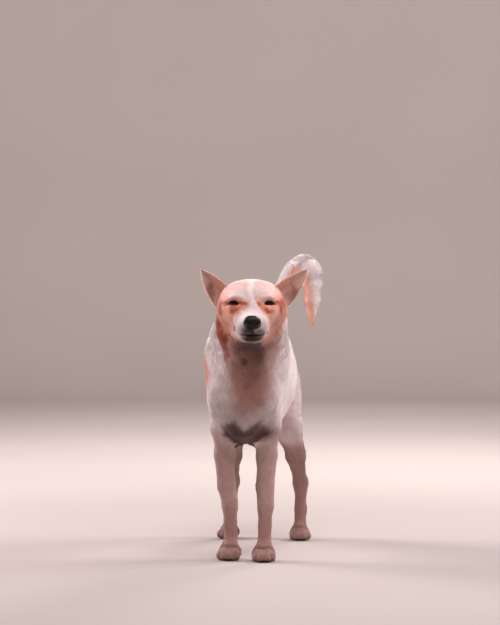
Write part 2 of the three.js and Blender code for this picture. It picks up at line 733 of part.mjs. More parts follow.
for (const [side, s] of Object.entries(SIDES)) {
  const [foreIn, foreOut] = [-10 * s, 110 * s].sort((a, b) => a - b);
  const fore = surfaceNet(wholeField, [foreIn, -80, 60], [foreOut, 110, 320], FORELEG_CELL);
  addPart("foreleg_" + side, carve(fore, [wholeForeleg(s)], [wrist]), "white_coat");
  const [hindIn, hindOut] = [-10 * s, 135 * s].sort((a, b) => a - b);
  const haunch = surfaceNet(wholeField, [hindIn, 270, 180], [hindOut, 500, 460], THIGH_CELL);
  const lower = surfaceNet(wholeField, [hindIn, 270, 70], [hindOut, 500, 280], SHANK_CELL);
  addPart("thigh_" + side, carve(haunch, [wholeHindleg(s)], [knee]), "white_coat");
  addPart("shank_" + side, carve(lower, [wholeHindleg(s), knee], [ankle]), "white_coat");
}

// ---------------------------------------------------------------- paws and claws

const PAW_CELL = [7, 11, 12];
const CLAW_LENGTH = 12;
const CLAW_R = 2.8;
const CLAW_DIP = 0.42; // how steeply a claw points down
const CLAW_MIDDLE = at(0, -15, 11); // from the toe

function pawSolid(name, foot) {
  const [top, back] = name.startsWith("fore") ? [CARPUS, 56] : [HOCK, 84];
  const low = [foot.x - 44, foot.y - 50, -16];
  return surfaceNet(wholeField, low, [foot.x + 44, foot.y + back, top + 14], PAW_CELL);
}

function clawSolid(foot, toe) {
  const cone = new THREE.ConeGeometry(CLAW_R, CLAW_LENGTH, 5, 1).rotateX(Math.PI / 2);
  const matrix = footFrame(foot, 1)
    .multiply(new THREE.Matrix4().setPosition(at(toe.across, -toe.ahead, 0).add(CLAW_MIDDLE)))
    .multiply(new THREE.Matrix4().makeRotationX(CLAW_DIP));
  return solidOf(cone, matrix);
}

for (const [name, foot] of Object.entries(FEET)) {
  const end = name.startsWith("fore") ? wrist : ankle;
  const label = name.replace("fore_", "forepaw_").replace("hind_", "hindpaw_");
  const paw = carve(pawSolid(name, foot), [end, tools.floor]);
  addPart(label, paw, "white_coat");
  TOES.forEach((toe, i) => {
    const claw = largest(clawSolid(foot, toe).subtract(paw));
    addPart(`${label}_claw_${i + 1}`, claw, "claw");
  });
}

// ---------------------------------------------------------------- tail

const TAIL_CELL = [15.5, 15.5, 15.5];
const TAIL_TIP_CELL = [9, 9, 15];
const TAIL_CUTS = [2, 4, 6, 7]; // the knots where one length ends and the next begins
const tailSolid = surfaceNet(wholeField, [-45, 340, 420], [150, 510, 646], TAIL_CELL);
const tailTip = surfaceNet(wholeField, [70, 345, 440], [150, 440, 560], TAIL_TIP_CELL);

// All past one knot of the tail, on the side of its tip.
const past = (knot) => {
  const ahead = TAIL[knot + 1][0].clone().sub(TAIL[knot - 1][0]);
  return beyond(TAIL[knot][0], ahead);
};

// A box round the knots from one to another, so that a length takes nothing from its neighbours'
// side of the curl.
const around = (from, to) => {
  const room = new THREE.Box3().setFromPoints(TAIL.slice(from, to + 1).map(([point]) => point));
  room.expandByScalar(38);
  return boxAt(room.getCenter(at(0, 0, 0)), room.getSize(at(0, 0, 0)).toArray());
};

const ends = [0, ...TAIL_CUTS, TAIL.length - 1];
for (let i = 0; i < ends.length - 1; i++) {
  const keep = [i === 0 ? tools.tail : past(ends[i]), around(ends[i], ends[i + 1])];
  const cut = i < TAIL_CUTS.length ? [past(ends[i + 1])] : [];
  addPart(`tail_${i + 1}`, carve(cut.length ? tailSolid : tailTip, keep, cut), "white_coat");
}

const box = new THREE.Box3().setFromObject(dog);
dog.position.set(-(box.min.x + box.max.x) / 2, -(box.min.y + box.max.y) / 2, -box.min.z);

export default dog;
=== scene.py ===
"""A life-size model of a standing dog of the pariah type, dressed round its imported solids.

One skin is grown from the solids of flesh and carries the folds of the face, the toes and the
markings. The coat is tufts of solid hair, rooted all over the skin and lying the way it grows.
The eyes, the nose and the claws are pieces of their own. Metres, +Z up. The dog faces -Y and its
own left side is towards +X.
"""

import logging
import math
from contextlib import contextmanager
from dataclasses import dataclass, field
from enum import Enum
from typing import Callable, Iterable, Iterator

import bpy
import numpy as np
from mathutils import Matrix, Vector
from mathutils.kdtree import KDTree


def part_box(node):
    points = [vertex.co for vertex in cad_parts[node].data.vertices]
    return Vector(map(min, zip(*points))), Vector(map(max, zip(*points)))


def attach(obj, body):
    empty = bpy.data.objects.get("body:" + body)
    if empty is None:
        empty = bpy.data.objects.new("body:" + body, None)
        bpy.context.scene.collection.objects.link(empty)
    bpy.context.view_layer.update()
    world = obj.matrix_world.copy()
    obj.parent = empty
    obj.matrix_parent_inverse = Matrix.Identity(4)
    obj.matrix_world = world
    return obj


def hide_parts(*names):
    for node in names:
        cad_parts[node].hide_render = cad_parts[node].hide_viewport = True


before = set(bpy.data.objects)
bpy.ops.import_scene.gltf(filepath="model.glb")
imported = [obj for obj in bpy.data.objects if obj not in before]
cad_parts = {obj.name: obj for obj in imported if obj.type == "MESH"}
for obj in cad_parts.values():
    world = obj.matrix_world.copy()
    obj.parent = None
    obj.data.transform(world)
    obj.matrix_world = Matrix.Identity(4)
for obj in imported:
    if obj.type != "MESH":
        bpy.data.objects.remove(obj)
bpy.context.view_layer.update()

log = logging.getLogger("dog")
MM = 0.001
FLOOR_GAP = 0.3 * MM  # how far the soles and the hair stay over the floor
SEED = 11
BODY = "root"
HUE = "coat_colour"  # the colour attribute that the skin and the coat share
BARE = "bare_skin"  # 0 where hair grows, 1 on lids, lips and pads
LIE = "coat_lie"  # the way the hair lies
BAKE_MAP = "OFBake"  # the map on which each tuft of the coat has its own patch
ROOT_MAP = "roots"  # the map of the skin from which the tufts take their places on BAKE_MAP

Array = np.ndarray


# ---------------------------------------------------------------- small tools


def only(*pieces: bpy.types.Object) -> None:
    """Selects these pieces alone and makes the first one active.

    Args:
        pieces: The pieces to select.
    """
    bpy.ops.object.select_all(action="DESELECT")
    for piece in pieces:
        piece.select_set(True)
    bpy.context.view_layer.objects.active = pieces[0]


@contextmanager
def editing() -> Iterator[None]:
    """Keeps the active piece in edit mode for a while."""
    bpy.ops.object.mode_set(mode="EDIT")
    yield
    bpy.ops.object.mode_set(mode="OBJECT")


def added(name: str, data: bpy.types.ID) -> bpy.types.Object:
    """Adds a mesh, a light or a camera to the scene as an object."""
    thing = bpy.data.objects.new(name, data)
    bpy.context.scene.collection.objects.link(thing)
    return thing


def smooth(piece: bpy.types.Object) -> None:
    """Shades a piece smooth."""
    only(piece)
    bpy.ops.object.shade_smooth()


def apply_modifier(piece: bpy.types.Object, kind: str, **settings: object) -> None:
    """Adds a modifier to a piece and applies it.

    Args:
        piece: The mesh object to change.
        kind: The modifier's type.
        settings: The modifier's settings by name.
    """
    only(piece)
    modifier = piece.modifiers.new(kind.lower(), kind)
    for name, value in settings.items():
        setattr(modifier, name, value)
    bpy.ops.object.modifier_apply(modifier=modifier.name)


def read(
    items: bpy.types.bpy_prop_collection, name: str, width: int = 1, kind: type = np.int32
) -> Array:
    """Reads one property of many items at once.

    Args:
        items: The items, such as a mesh's points.
        name: The property's name.
        width: How many numbers an item has.
        kind: The type of the numbers. Those with a decimal point come back as doubles.

    Returns:
        One row for each item, or one number where width is 1.
    """
    values = np.empty(len(items) * width, kind)
    items.foreach_get(name, values)
    values = values.astype(float) if kind is np.float32 else values
    return values.reshape(-1, width) if width > 1 else values


def in_triangle(rng: np.random.Generator, count: int) -> tuple[Array, Array]:
    """Draws places in a triangle, as shares of the way to its second and third corner."""
    u, v = rng.random((2, count))
    return np.where(u + v > 1, 1 - u, u), np.where(u + v > 1, 1 - v, v)


def linear(colour: str) -> tuple[float, float, float]:
    """Turns an sRGB hex colour to linear red, green and blue."""
    parts = [int(colour[i : i + 2], 16) / 255 for i in (1, 3, 5)]
    return tuple(c / 12.92 if c <= 0.04045 else ((c + 0.055) / 1.055) ** 2.4 for c in parts)


def unit(v: Array) -> Array:
    """Gives vectors a length of one."""
    return v / np.maximum(np.linalg.norm(v, axis=-1, keepdims=True), 1e-9)


def ramp(value: Array, start: float, end: float) -> Array:
    """A smooth step from 0 at start to 1 at end, either way round."""
    t = np.clip((value - start) / (end - start), 0, 1)
    return t * t * (3 - 2 * t)


def mix(a: Array, b: Array, share: Array) -> Array:
    """Mixes a with b by a share for each row."""
    share = np.asarray(share)[..., None] if np.ndim(a) > np.ndim(share) else share
    return a + (b - a) * share


@dataclass
class Waves:
    """Smooth noise in space, as a sum of waves with random directions.

    Attributes:
        size: The distance between two hills, in metres.
        seed: What the draws start from.
        count: How many waves are summed.
    """

    size: float
    seed: int
    count: int = 9

    def __call__(self, at: Array) -> Array:
        """The noise at these points, mostly between -1 and 1.

        Args:
            at: Points, one a row.

        Returns:
            One number for each point.
        """
        rng = np.random.default_rng(self.seed)
        ways = unit(rng.normal(size=(self.count, 3)))
        ways *= (2 * math.pi / self.size) * rng.uniform(0.7, 1.5, (self.count, 1))
        phases = rng.uniform(0, 2 * math.pi, self.count)
        return np.sin(at @ ways.T + phases).sum(1) / math.sqrt(self.count)


def lengths_of(path: Array) -> Array:
    """The lengths of a path's straight parts."""
    return np.linalg.norm(np.diff(path, axis=0), axis=1)


def distance_to_path(at: Array, path: Array) -> tuple[Array, Array, Array]:
    """How far points are from a path of straight lengths.

    Args:
        at: Points, one a row.
        path: The path's corners, one a row.

    Returns:
        The distance of each point, the path's direction beside it, and how far along the path it
        is, from 0 to 1.
    """
    best = np.full(len(at), np.inf)
    way = np.zeros_like(at)
    along = np.zeros(len(at))
    lengths = lengths_of(path)
    starts = np.concatenate([[0], np.cumsum(lengths)])
    for a, b, length, start in zip(path[:-1], path[1:], lengths, starts):
        step = (b - a) / length
        t = np.clip((at - a) @ step, 0, length)
        gap = np.linalg.norm(at - a - t[:, None] * step, axis=1)
        near = gap < best
        best[near] = gap[near]
        way[near] = step
        along[near] = (start + t[near]) / starts[-1]
    return best, way, along


def along_path(path: Array, run: Array) -> Array:
    """The points of a path at these shares of its length."""
    steps = lengths_of(path)
    places = np.concatenate([[0], np.cumsum(steps)]) / steps.sum()
    return np.stack([np.interp(run, places, path[:, i]) for i in range(3)], 1)


def tree_of(points: Array) -> KDTree:
    """A search tree of points.

    Args:
        points: Points, one a row.

    Returns:
        The tree, which finds a point's nearest row.
    """
    tree = KDTree(len(points))
    for i, point in enumerate(points):
        tree.insert(point, i)
    tree.balance()
    return tree


# ---------------------------------------------------------------- landmarks


class Side(Enum):
    """The dog's own left and right, as the sign of X."""

    LEFT = 1
    RIGHT = -1

    @property
    def word(self) -> str:
        """The side's name, as node names spell it."""
        return self.name.lower()


def box_of(node: str) -> tuple[Array, Array]:
    """The lowest and the highest corner of a node's box."""
    low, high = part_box(node)
    return np.array(low), np.array(high)


def middle(node: str) -> Array:
    """The middle of a node's box."""
    low, high = box_of(node)
    return (low + high) / 2


def corners(node: str) -> Array:
    """All points of a node's mesh."""
    return read(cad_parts[node].data.vertices, "co", 3, np.float32)


def claws_of(paw: str) -> list[str]:
    """The nodes of a paw's four claws."""
    return [f"{paw}_claw_{i}" for i in range(1, 5)]


@dataclass
class HeadFrame:
    """Places in the head, in millimetres from the middle of the nose: side, back and up.

    Attributes:
        eye_side: How far each eyeball is from the midline.
        eye_back: How far the eyeballs are behind the nose.
        eye_up: How far they are above it.
        origin: The middle of the nose, in the frame.
        axes: The head's own axes in the frame, one a row.
    """

    eye_side: float = 32.5
    eye_back: float = 99.0
    eye_up: float = 36.0
    origin: Array = field(init=False)
    axes: Array = field(init=False)

    def __post_init__(self) -> None:
        """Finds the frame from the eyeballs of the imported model."""
        left, right = middle("eye_left"), middle("eye_right")
        across = unit(left - right)
        up = np.array([0.0, 0.0, 1.0])
        back = np.cross(up, across)
        self.axes = np.array([across, back, up])
        eyes = (left + right) / 2
        self.origin = eyes - (self.eye_back * back + self.eye_up * up) * MM

    def local(self, at: Array) -> Array:
        """Points of the frame as places in the head, one a row."""
        return (at - self.origin) @ self.axes.T / MM

    def world(self, place: Iterable[float]) -> Array:
        """A place in the head, or one in each row, as a point of the frame."""
        return self.origin + np.asarray(place, float) * MM @ self.axes


HEAD = HeadFrame()


def joint_between(a: str, b: str) -> Array:
    """The middle of the cut face where one node meets the next.

    Args:
        a: The first node.
        b: The next node.

    Returns:
        The point.
    """
    here = corners(a)
    tree = tree_of(corners(b))
    gaps = np.array([tree.find(p)[2] for p in here])
    return here[gaps < np.quantile(gaps, 0.25)].mean(0)


def tail_path() -> Array:
    """The tail's middle line, from its root to its tip, with its corners rounded.

    Returns:
        The line's points, one a row.
    """
    names = [f"tail_{i}" for i in range(1, 6)]
    path = [joint_between(names[0], "trunk")]
    for i, name in enumerate(names):
        path.append(corners(name).mean(0))
        if i < len(names) - 1:
            path.append(joint_between(name, names[i + 1]))
    tip = corners(names[-1])
    path = np.array([*path, tip[tip[:, 2].argmin()]])
    for _ in range(3):
        a, b = path[:-1], path[1:]
        cut = np.stack([0.75 * a + 0.25 * b, 0.25 * a + 0.75 * b], 1).reshape(-1, 3)
        path = np.vstack([path[:1], cut, path[-1:]])
    return path


def sampled(node: str, count: int) -> Array:
    """Points spread evenly over a node's surface.

    Args:
        node: The node's name.
        count: How many points.

    Returns:
        The points, one a row.
    """
    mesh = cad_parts[node].data
    mesh.calc_loop_triangles()
    a, b, c = corners(node)[read(mesh.loop_triangles, "vertices", 3)].transpose(1, 0, 2)
    area = np.linalg.norm(np.cross(b - a, c - a), axis=1)
    rng = np.random.default_rng(SEED)
    face = rng.choice(len(area), count, p=area / area.sum())
    u, v = in_triangle(rng, count)
    return a[face] + u[:, None] * (b - a)[face] + v[:, None] * (c - a)[face]


def copy_of(node: str, swell: float) -> bpy.types.Object:
    """Copies a node with its loose triangles merged, and swells the copy.

    Args:
        node: The node's name.
        swell: How far the copy swells, in metres.

    Returns:
        The copy.
    """
    piece = added(node + "_copy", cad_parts[node].data.copy())
    only(piece)
    with editing():
        bpy.ops.mesh.select_all(action="SELECT")
        bpy.ops.mesh.remove_doubles(threshold=0.01 * MM)
        bpy.ops.transform.shrink_fatten(value=swell)
    return piece


# ---------------------------------------------------------------- regions of the coat


@dataclass(frozen=True)
class Growth:
    """How the coat grows in a region.

    Attributes:
        depth: How far the hair's tips stand over the skin, in millimetres.
        length: The length of a tuft, in millimetres.
        width: The width of a tuft, in millimetres.
        rounds: How many rounds of smoothing the skin gets there.
    """

    depth: float
    length: float
    width: float
    rounds: int


class Region(Enum):
    """The regions of the body, each with its own hair."""

    HEAD = Growth(1.0, 5.6, 0.85, 12)
    JAW = Growth(0.8, 4.2, 0.8, 8)
    EAR = Growth(0.5, 5.0, 0.8, 0)
    NECK = Growth(1.3, 15.0, 1.5, 40)
    TRUNK = Growth(1.1, 13.0, 1.5, 60)
    FORELEG = Growth(0.9, 8.0, 1.25, 40)
    FOREPAW = Growth(0.8, 4.4, 0.95, 7)
    THIGH = Growth(1.2, 13.0, 1.5, 50)
    SHANK = Growth(0.9, 8.0, 1.25, 30)
    HINDPAW = Growth(0.8, 4.6, 0.95, 7)
    TAIL = Growth(2.0, 20.0, 1.7, 14)

    @property
    def at(self) -> int:
        """The region's place in the list of regions, which labels the skin's points."""
        return REGIONS.index(self)


REGIONS = list(Region)
FACE = (Region.HEAD, Region.JAW)
LEGS = (Region.FORELEG, Region.FOREPAW, Region.THIGH, Region.SHANK, Region.HINDPAW)
FLESH = {
    "head": Region.HEAD,
    "lower_jaw": Region.JAW,
    "neck": Region.NECK,
    "trunk": Region.TRUNK,
    **{f"{r.name.lower()}_{side.word}": r for r in (Region.EAR, *LEGS) for side in Side},
    **{f"tail_{i}": Region.TAIL for i in range(1, 6)},
}
NODES = list(FLESH)
PAWS = [n for n in NODES if "paw" in n]
MIDLINE = float(middle("trunk")[0])
FAR = 99.0  # a distance to a feature, in millimetres, that stands for none near
EVERYWHERE = (-1e4, 1e4)
FACE_BACK = 112  # how far behind the nose the face ends and the skull starts, in millimetres


def among(labels: Array, *regions: Region) -> Array:
    """Which labels are of these regions."""
    return np.isin(labels, [r.at for r in regions])


# ---------------------------------------------------------------- a mesh held as arrays


class Surface:
    """The points, edges and facing of a mesh, held as arrays while it is shaped."""

    def __init__(self, piece: bpy.types.Object) -> None:
        """Reads a mesh object's points and edges.

        Args:
            piece: The mesh object.
        """
        self.piece = piece
        mesh = piece.data
        self.count = len(mesh.vertices)
        self.co = read(mesh.vertices, "co", 3, np.float32)
        edges = read(mesh.edges, "vertices", 2)
        self.a, self.b = edges.T
        self.valence = np.bincount(edges.ravel(), minlength=self.count).clip(1)

    def neighbours(self, values: Array) -> Array:
        """The mean of a value over each point's neighbours.

        Args:
            values: One row or one number for each point.

        Returns:
            The means, in the same form.
        """
        flat = values.reshape(self.count, -1)
        total = np.empty_like(flat)
        for i in range(flat.shape[1]):
            total[:, i] = np.bincount(self.a, flat[self.b, i], self.count)
            total[:, i] += np.bincount(self.b, flat[self.a, i], self.count)
        return (total / self.valence[:, None]).reshape(values.shape)

    def spread(self, values: Array, rounds: int) -> Array:
        """Smooths a value over the surface."""
        for _ in range(rounds):
            values = (values + self.neighbours(values)) / 2
        return values

    def relax(self, rounds: Array) -> None:
        """Smooths the shape without shrinking it.

        Args:
            rounds: How many rounds each point takes part in.
        """
        for i in range(int(rounds.max())):
            moving = (rounds > i)[:, None]
            for share in (0.55, -0.57):
                self.co += moving * share * (self.neighbours(self.co) - self.co)

    def soften(self, rounds: int, share: Array) -> None:
        """Smooths the shape plainly where share is above 0."""
        for _ in range(rounds):
            self.co += share[:, None] * 0.5 * (self.neighbours(self.co) - self.co)

    def save(self) -> None:
        """Writes the points back to the mesh."""
        self.piece.data.vertices.foreach_set("co", self.co.astype(np.float32).ravel())
        self.piece.data.update()

    def normals(self) -> Array:
        """The way each point faces, from the mesh as it now stands."""
        self.save()
        return read(self.piece.data.vertex_normals, "vector", 3, np.float32)


def store(mesh: bpy.types.Mesh, name: str, values: Array, kind: str) -> None:
    """Stores a value for each point of a mesh as an attribute.

    Args:
        mesh: The mesh.
        name: The attribute's name.
        values: One row for each point.
        kind: FLOAT, FLOAT_VECTOR or FLOAT_COLOR.
    """
    attribute = mesh.attributes.new(name, kind, "POINT")
    word = {"FLOAT": "value", "FLOAT_VECTOR": "vector", "FLOAT_COLOR": "color"}[kind]
    if kind == "FLOAT_COLOR":
        values = np.concatenate([values, np.ones((len(values), 1))], axis=1)
    attribute.data.foreach_set(word, np.ascontiguousarray(values, np.float32).ravel())


def dress(piece: bpy.types.Object, material: bpy.types.Material, slot: str, *nodes: str) -> None:
    """Gives a finished piece its material and its place in the model.

    Args:
        piece: The finished piece.
        material: Its material.
        slot: The record's material slot. It is not used.
        nodes: The nodes that it stands for.
    """
    piece.data.materials.clear()
    piece.data.materials.append(material)
    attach(piece, BODY)
    if nodes:
        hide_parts(*nodes)


# ---------------------------------------------------------------- markings


class Hue(Enum):
    """The colours of the coat and the bare skin, and the painted shade and shadow laid over them.
    """

    WHITE = "#f4ebee"
    CREAM = "#ecdcdb"
    # painted shade on the sides and underside of the muzzle
    ASH = "#b9a4a6"
    FOREHEAD = "#f0cfc9"
    BROW = "#efb09c"
    TAN = "#dc8a6c"
    CHEEK = "#bd8272"
    RUST = "#b04a2c"
    STRIPE = "#a8442a"
    FAWN = "#c08d83"
    # painted shade, where the coat is turned from the light
    SHADE = "#7d544c"
    # painted shadow, deeper, in hollows and under the chin and the chest
    DUSK = "#52302b"
    PINK = "#deb2a8"
    SHELL = "#6d4842"
    SOIL = "#b08c84"
    LIP = "#1d191c"
    DARK = "#2a1d19"
    BLACK = "#0d0c0d"

    @property
    def rgb(self) -> Array:
        """The colour in linear red, green and blue."""
        return np.array(linear(self.value))


def blot(place: Array, centre: Iterable[float], radii: Iterable[float], soft: float) -> Array:
    """1 inside an egg-shaped room, fading to 0 past its edge."""
    size = np.linalg.norm((place - np.asarray(centre)) / np.asarray(radii), axis=1)
    return 1 - ramp(size, 1 - soft / 2, 1 + soft / 2)


@dataclass(frozen=True)
class Patch:
    """A soft, egg-shaped patch of colour.

    Attributes:
        hue: Its colour.
        share: How much of the colour below it covers.
        centre: Its middle, in millimetres.
        radii: How far it reaches along each axis, in millimetres.
        soft: How wide its edge is, as a share of the way out from its middle.
    """

    hue: Hue
    share: float
    centre: tuple[float, float, float]
    radii: tuple[float, float, float]
    soft: float

    def over(self, colour: Array, place: Array, mask: Array | float = 1.0) -> Array:
        """Lays the patch over the colours of these places, where the mask is 1."""
        spot = blot(place, self.centre, self.radii, self.soft)
        return mix(colour, self.hue.rgb, self.share * spot * mask)


# Patches are laid in this order. Those of the body are placed in the frame, those of the head
# and the ears on the left half of the head, from the nose, and they are mirrored.
THROAT_PATCHES = (
    Patch(Hue.FAWN, 0.93, (5, -225, 383), (54, 90, 82), 0.7),  # chest: a fawn tint, partly painted shade
    Patch(Hue.SHADE, 0.45, (-8, -200, 292), (70, 110, 42), 0.9),  # painted shade over the breast
    Patch(Hue.SHADE, 0.86, (11, -255, 402), (38, 90, 80), 0.9),  # painted shadow of the head over the throat
    Patch(Hue.FAWN, 0.85, (58, -275, 438), (24, 90, 34), 0.8),  # below the left cheek
    Patch(Hue.DUSK, 0.95, (24, -285, 438), (24, 70, 36), 0.9),  # gullet, painted shadow under the chin
)
FLANK_PATCHES = (
    Patch(Hue.DUSK, 0.93, (-42, -160, 266), (23, 110, 21), 1.0),  # painted shade in the hollows between the
    Patch(Hue.DUSK, 0.93, (23, -160, 266), (23, 110, 21), 1.0),  # breast and the forelegs
    Patch(Hue.TAN, 0.85, (-104, -88, 380), (36, 76, 50), 0.45),  # flank, front half
    Patch(Hue.TAN, 0.85, (-104, 4, 352), (34, 66, 42), 0.45),  # flank, back half
    Patch(Hue.TAN, 0.85, (-104, 62, 388), (34, 34, 22), 0.45),  # flank, its upper corner
    Patch(Hue.TAN, 0.85, (40, 318, 452), (46, 52, 44), 0.45),  # root of the tail
    Patch(Hue.PINK, 0.4, (-17, 240, 280), (60, 120, 40), 0.7),  # groin
)
EYE_PATCHES = (
    Patch(Hue.TAN, 0.85, (26, 80, 26), (17, 24, 13), 0.9),  # pouch
    Patch(Hue.RUST, 0.85, (33, 80, 21), (9, 22, 7), 0.9),  # below the eye
    Patch(Hue.RUST, 0.85, (16, 78, 35), (6, 22, 6), 0.9),  # inner corner
    Patch(Hue.RUST, 0.85, (50, 103, 35), (9, 20, 3.5), 0.9),  # outer corner
    Patch(Hue.RUST, 0.95, (59, 122, 27), (9, 18, 15), 0.9),  # before the ear
    Patch(Hue.CREAM, 0.8, (30, 92, 50), (14, 20, 6), 0.8),  # over the eye: cream, lightened as painted light against the brow's shade
    Patch(Hue.CREAM, 0.8, (16, 84, 54), (9, 24, 10), 0.8),  # inner end of the brow
)
CHIN_PATCHES = (
    Patch(Hue.LIP, 0.97, (0, 6, -20), (21, 20, 9), 0.7),  # upper lip: dark skin, deepened by painted shade under the nose
    Patch(Hue.CHEEK, 0.6, (0, 24, -34), (34, 60, 14), 0.7),  # jaw
    Patch(Hue.DARK, 0.96, (0, 8, -32), (22, 40, 9), 1.1),  # painted shade on the chin, under the muzzle
)
MOUTH_CORNER = Patch(Hue.LIP, 0.97, (31, 70, -16.5), (4.5, 14, 5), 0.8)
EAR_PATCHES = (
    Patch(Hue.SHELL, 0.75, (78, 0, 56), (15, 1, 18), 1.2),  # the ear's hollow: darker skin, deepened by painted shade
    Patch(Hue.BROW, 0.95, (58, 0, 70), (14, 1, 15), 0.9),  # its inner base: tan, lightened as painted light in the pocket's shade
)
# Half the width of the white blaze, in millimetres, at heights over the nose.
BLAZE_UP = [-40, -24, -12, 2, 14, 27, 38, 52, 80]
BLAZE_HALF = [20, 29, 33, 28, 18, 10.5, 7.5, 6, 5]


@dataclass
class Markings:
    """The colours of the coat by place, in patches with wavy edges.

    Attributes:
        wave: How far the edge of a patch wanders, in millimetres.
        spot: The middle of the small dark spot on the chest.
        spot_radii: How far the spot reaches along each axis.
        keel: How far the middle of the painted shade under the chest, between the forelegs, is from
            the frame's middle, in millimetres.
        stripe: The dark stripe down the right side of the throat, as places in the head.
    """

    wave: float = 4.0
    spot: tuple[float, float, float] = (-7, -200, 416)
    spot_radii: tuple[float, float, float] = (5, 70, 6)
    keel: float = -8
    stripe: tuple[tuple[float, float, float], ...] = (
        (-62, 150, 10),
        (-57, 160, -14),
        (-51, 165, -44),
        (-51, 172, -86),
    )

    def __post_init__(self) -> None:
        """Prepares the noise that bends the edges and mottles the colours."""
        self.bend = [Waves(0.045, SEED + i) for i in range(3)]
        self.small = [Waves(0.012, SEED + 5 + i) for i in range(3)]
        self.mottle = Waves(0.05, SEED + 9)

    def colours(self, at: Array, labels: Array, inner: Array, limbs: Array) -> Array:
        """The colour of the coat.

        Args:
            at: Points on the skin.
            labels: Each point's region, as its place in REGIONS.
            inner: 1 on the inside of an ear, 0 elsewhere.
            limbs: How far each point is down a leg: 0 on the body, 1 on the lower leg.

        Returns:
            Linear red, green and blue for each point.
        """
        bent = at + np.stack([n(at) for n in self.bend], 1) * self.wave * MM
        bent += np.stack([n(at) for n in self.small], 1) * 0.25 * self.wave * MM
        colour = np.tile(Hue.WHITE.rgb, (len(at), 1))
        colour = mix(colour, Hue.CREAM.rgb, np.clip(0.3 + 0.2 * self.mottle(at), 0, 1))
        colour = self._body(colour, at, bent, labels, limbs)
        colour = self._head(colour, bent, labels)
        return self._ears(colour, bent, labels, inner)

    def _body(
        self, colour: Array, true: Array, at: Array, labels: Array, limbs: Array
    ) -> Array:
        """The white body: fawn down the chest and the legs, partly painted shade, and patches
        behind.

        Args:
            colour: The colours so far.
            true: Points on the skin.
            at: The same points, moved by the noise.
            labels: Each point's region, as its place in REGIONS.
            limbs: How far each point is down a leg.

        Returns:
            The colours with the body's markings.
        """
        place = at / MM
        hind = ramp(place[:, 1], 60, 160)
        # Fawn down the legs, partly their own tint and partly painted shade, then painted shade
        colour = mix(colour, Hue.FAWN.rgb, 0.85 * limbs)
        # that darkens the lower legs, the hind legs most.
        colour = mix(colour, Hue.SHADE.rgb, (0.15 + 0.3 * hind) * ramp(limbs, 0.3, 1.0))
        colour = mix(colour, Hue.SOIL.rgb, 0.5 * (1 - ramp(place[:, 2], 8, 70)))
        for patch in THROAT_PATCHES:
            colour = patch.over(colour, place)
        trunk = among(labels, Region.TRUNK)
        # Painted shade under the chest, between the forelegs.
        keel = trunk * ramp(place[:, 2], 280, 262) * ramp(np.abs(place[:, 0] - self.keel), 62, 38)
        colour = mix(colour, Hue.DUSK.rgb, 0.94 * keel * ramp(place[:, 1], 10, -70))
        for patch in FLANK_PATCHES:
            colour = patch.over(colour, place)
        flat = np.abs(true / MM - self.spot) / self.spot_radii
        colour = mix(colour, Hue.DARK.rgb, 0.8 * (1 - ramp(np.linalg.norm(flat, axis=1), 0.7, 1.3)))
        colour = self._neck(colour, at, labels)
        tail = among(labels, Region.TAIL)
        _, _, run = distance_to_path(at, TAIL)
        middle_line = along_path(TAIL, run)
        inward = (unit(at - middle_line) * unit(TAIL_CURL - middle_line)).sum(1)
        start = 0.35 - 0.5 * ramp(run, 0.4, 0.6)
        under = ramp(inward - start, 0.0, 0.55) * ramp(run, 0.02, 0.2)
        under = np.clip(under + 0.7 * ramp(run, 0.7, 1.0), 0, 1)
        return mix(colour, Hue.BROW.rgb, 0.95 * tail * under)

    def _neck(self, colour: Array, at: Array, labels: Array) -> Array:
        """The dark stripe on the right side of the throat.

        Args:
            colour: The colours so far.
            at: Points on the skin, moved by the noise.
            labels: Each point's region, as its place in REGIONS.

        Returns:
            The colours with the stripe.
        """
        local = HEAD.local(at)
        level = local * (1, 0.35, 1)
        line = np.array(self.stripe) * (1, 0.35, 1)
        gap, _, along = distance_to_path(level, line)
        band = 1 - ramp(gap, 9 - 4 * along, 15 - 5 * along)
        band *= ramp(local[:, 1], 112, 128) * among(labels, Region.NECK, Region.TRUNK, Region.HEAD)
        return mix(colour, Hue.STRIPE.rgb, 0.99 * band * (1 - 0.5 * along**3))

    def _head(self, colour: Array, at: Array, labels: Array) -> Array:
        """The tan mask, pale on the forehead, with its white blaze and muzzle, and painted shade on
        the lower cheeks, the muzzle's sides, the chin and under it.

        Args:
            colour: The colours so far.
            at: Points on the skin, moved by the noise.
            labels: Each point's region, as its place in REGIONS.

        Returns:
            The colours with the head's markings.
        """
        head = among(labels, *FACE)
        place = HEAD.local(at)
        place[:, 0] = np.abs(place[:, 0])
        side, back, up = place.T
        mask = ramp(back, 60, 80) * (1 - ramp(back, 158 + 0.6 * up, 178 + 0.6 * up))
        mask *= ramp(up, -60, -48)
        tan = mix(Hue.BROW.rgb[None], Hue.TAN.rgb, ramp(side, 46, 60) * 0.8)
        top = ramp(up, 42, 56) * (1 - ramp(side, 40, 62)) * (1 - 0.6 * ramp(back, 150, 180))
        tan = mix(tan, Hue.FOREHEAD.rgb, top)
        cheek = (1 - ramp(up, -6, 22)) * ramp(side, 24, 46)
        tan = mix(tan, Hue.CHEEK.rgb, 0.85 * cheek)
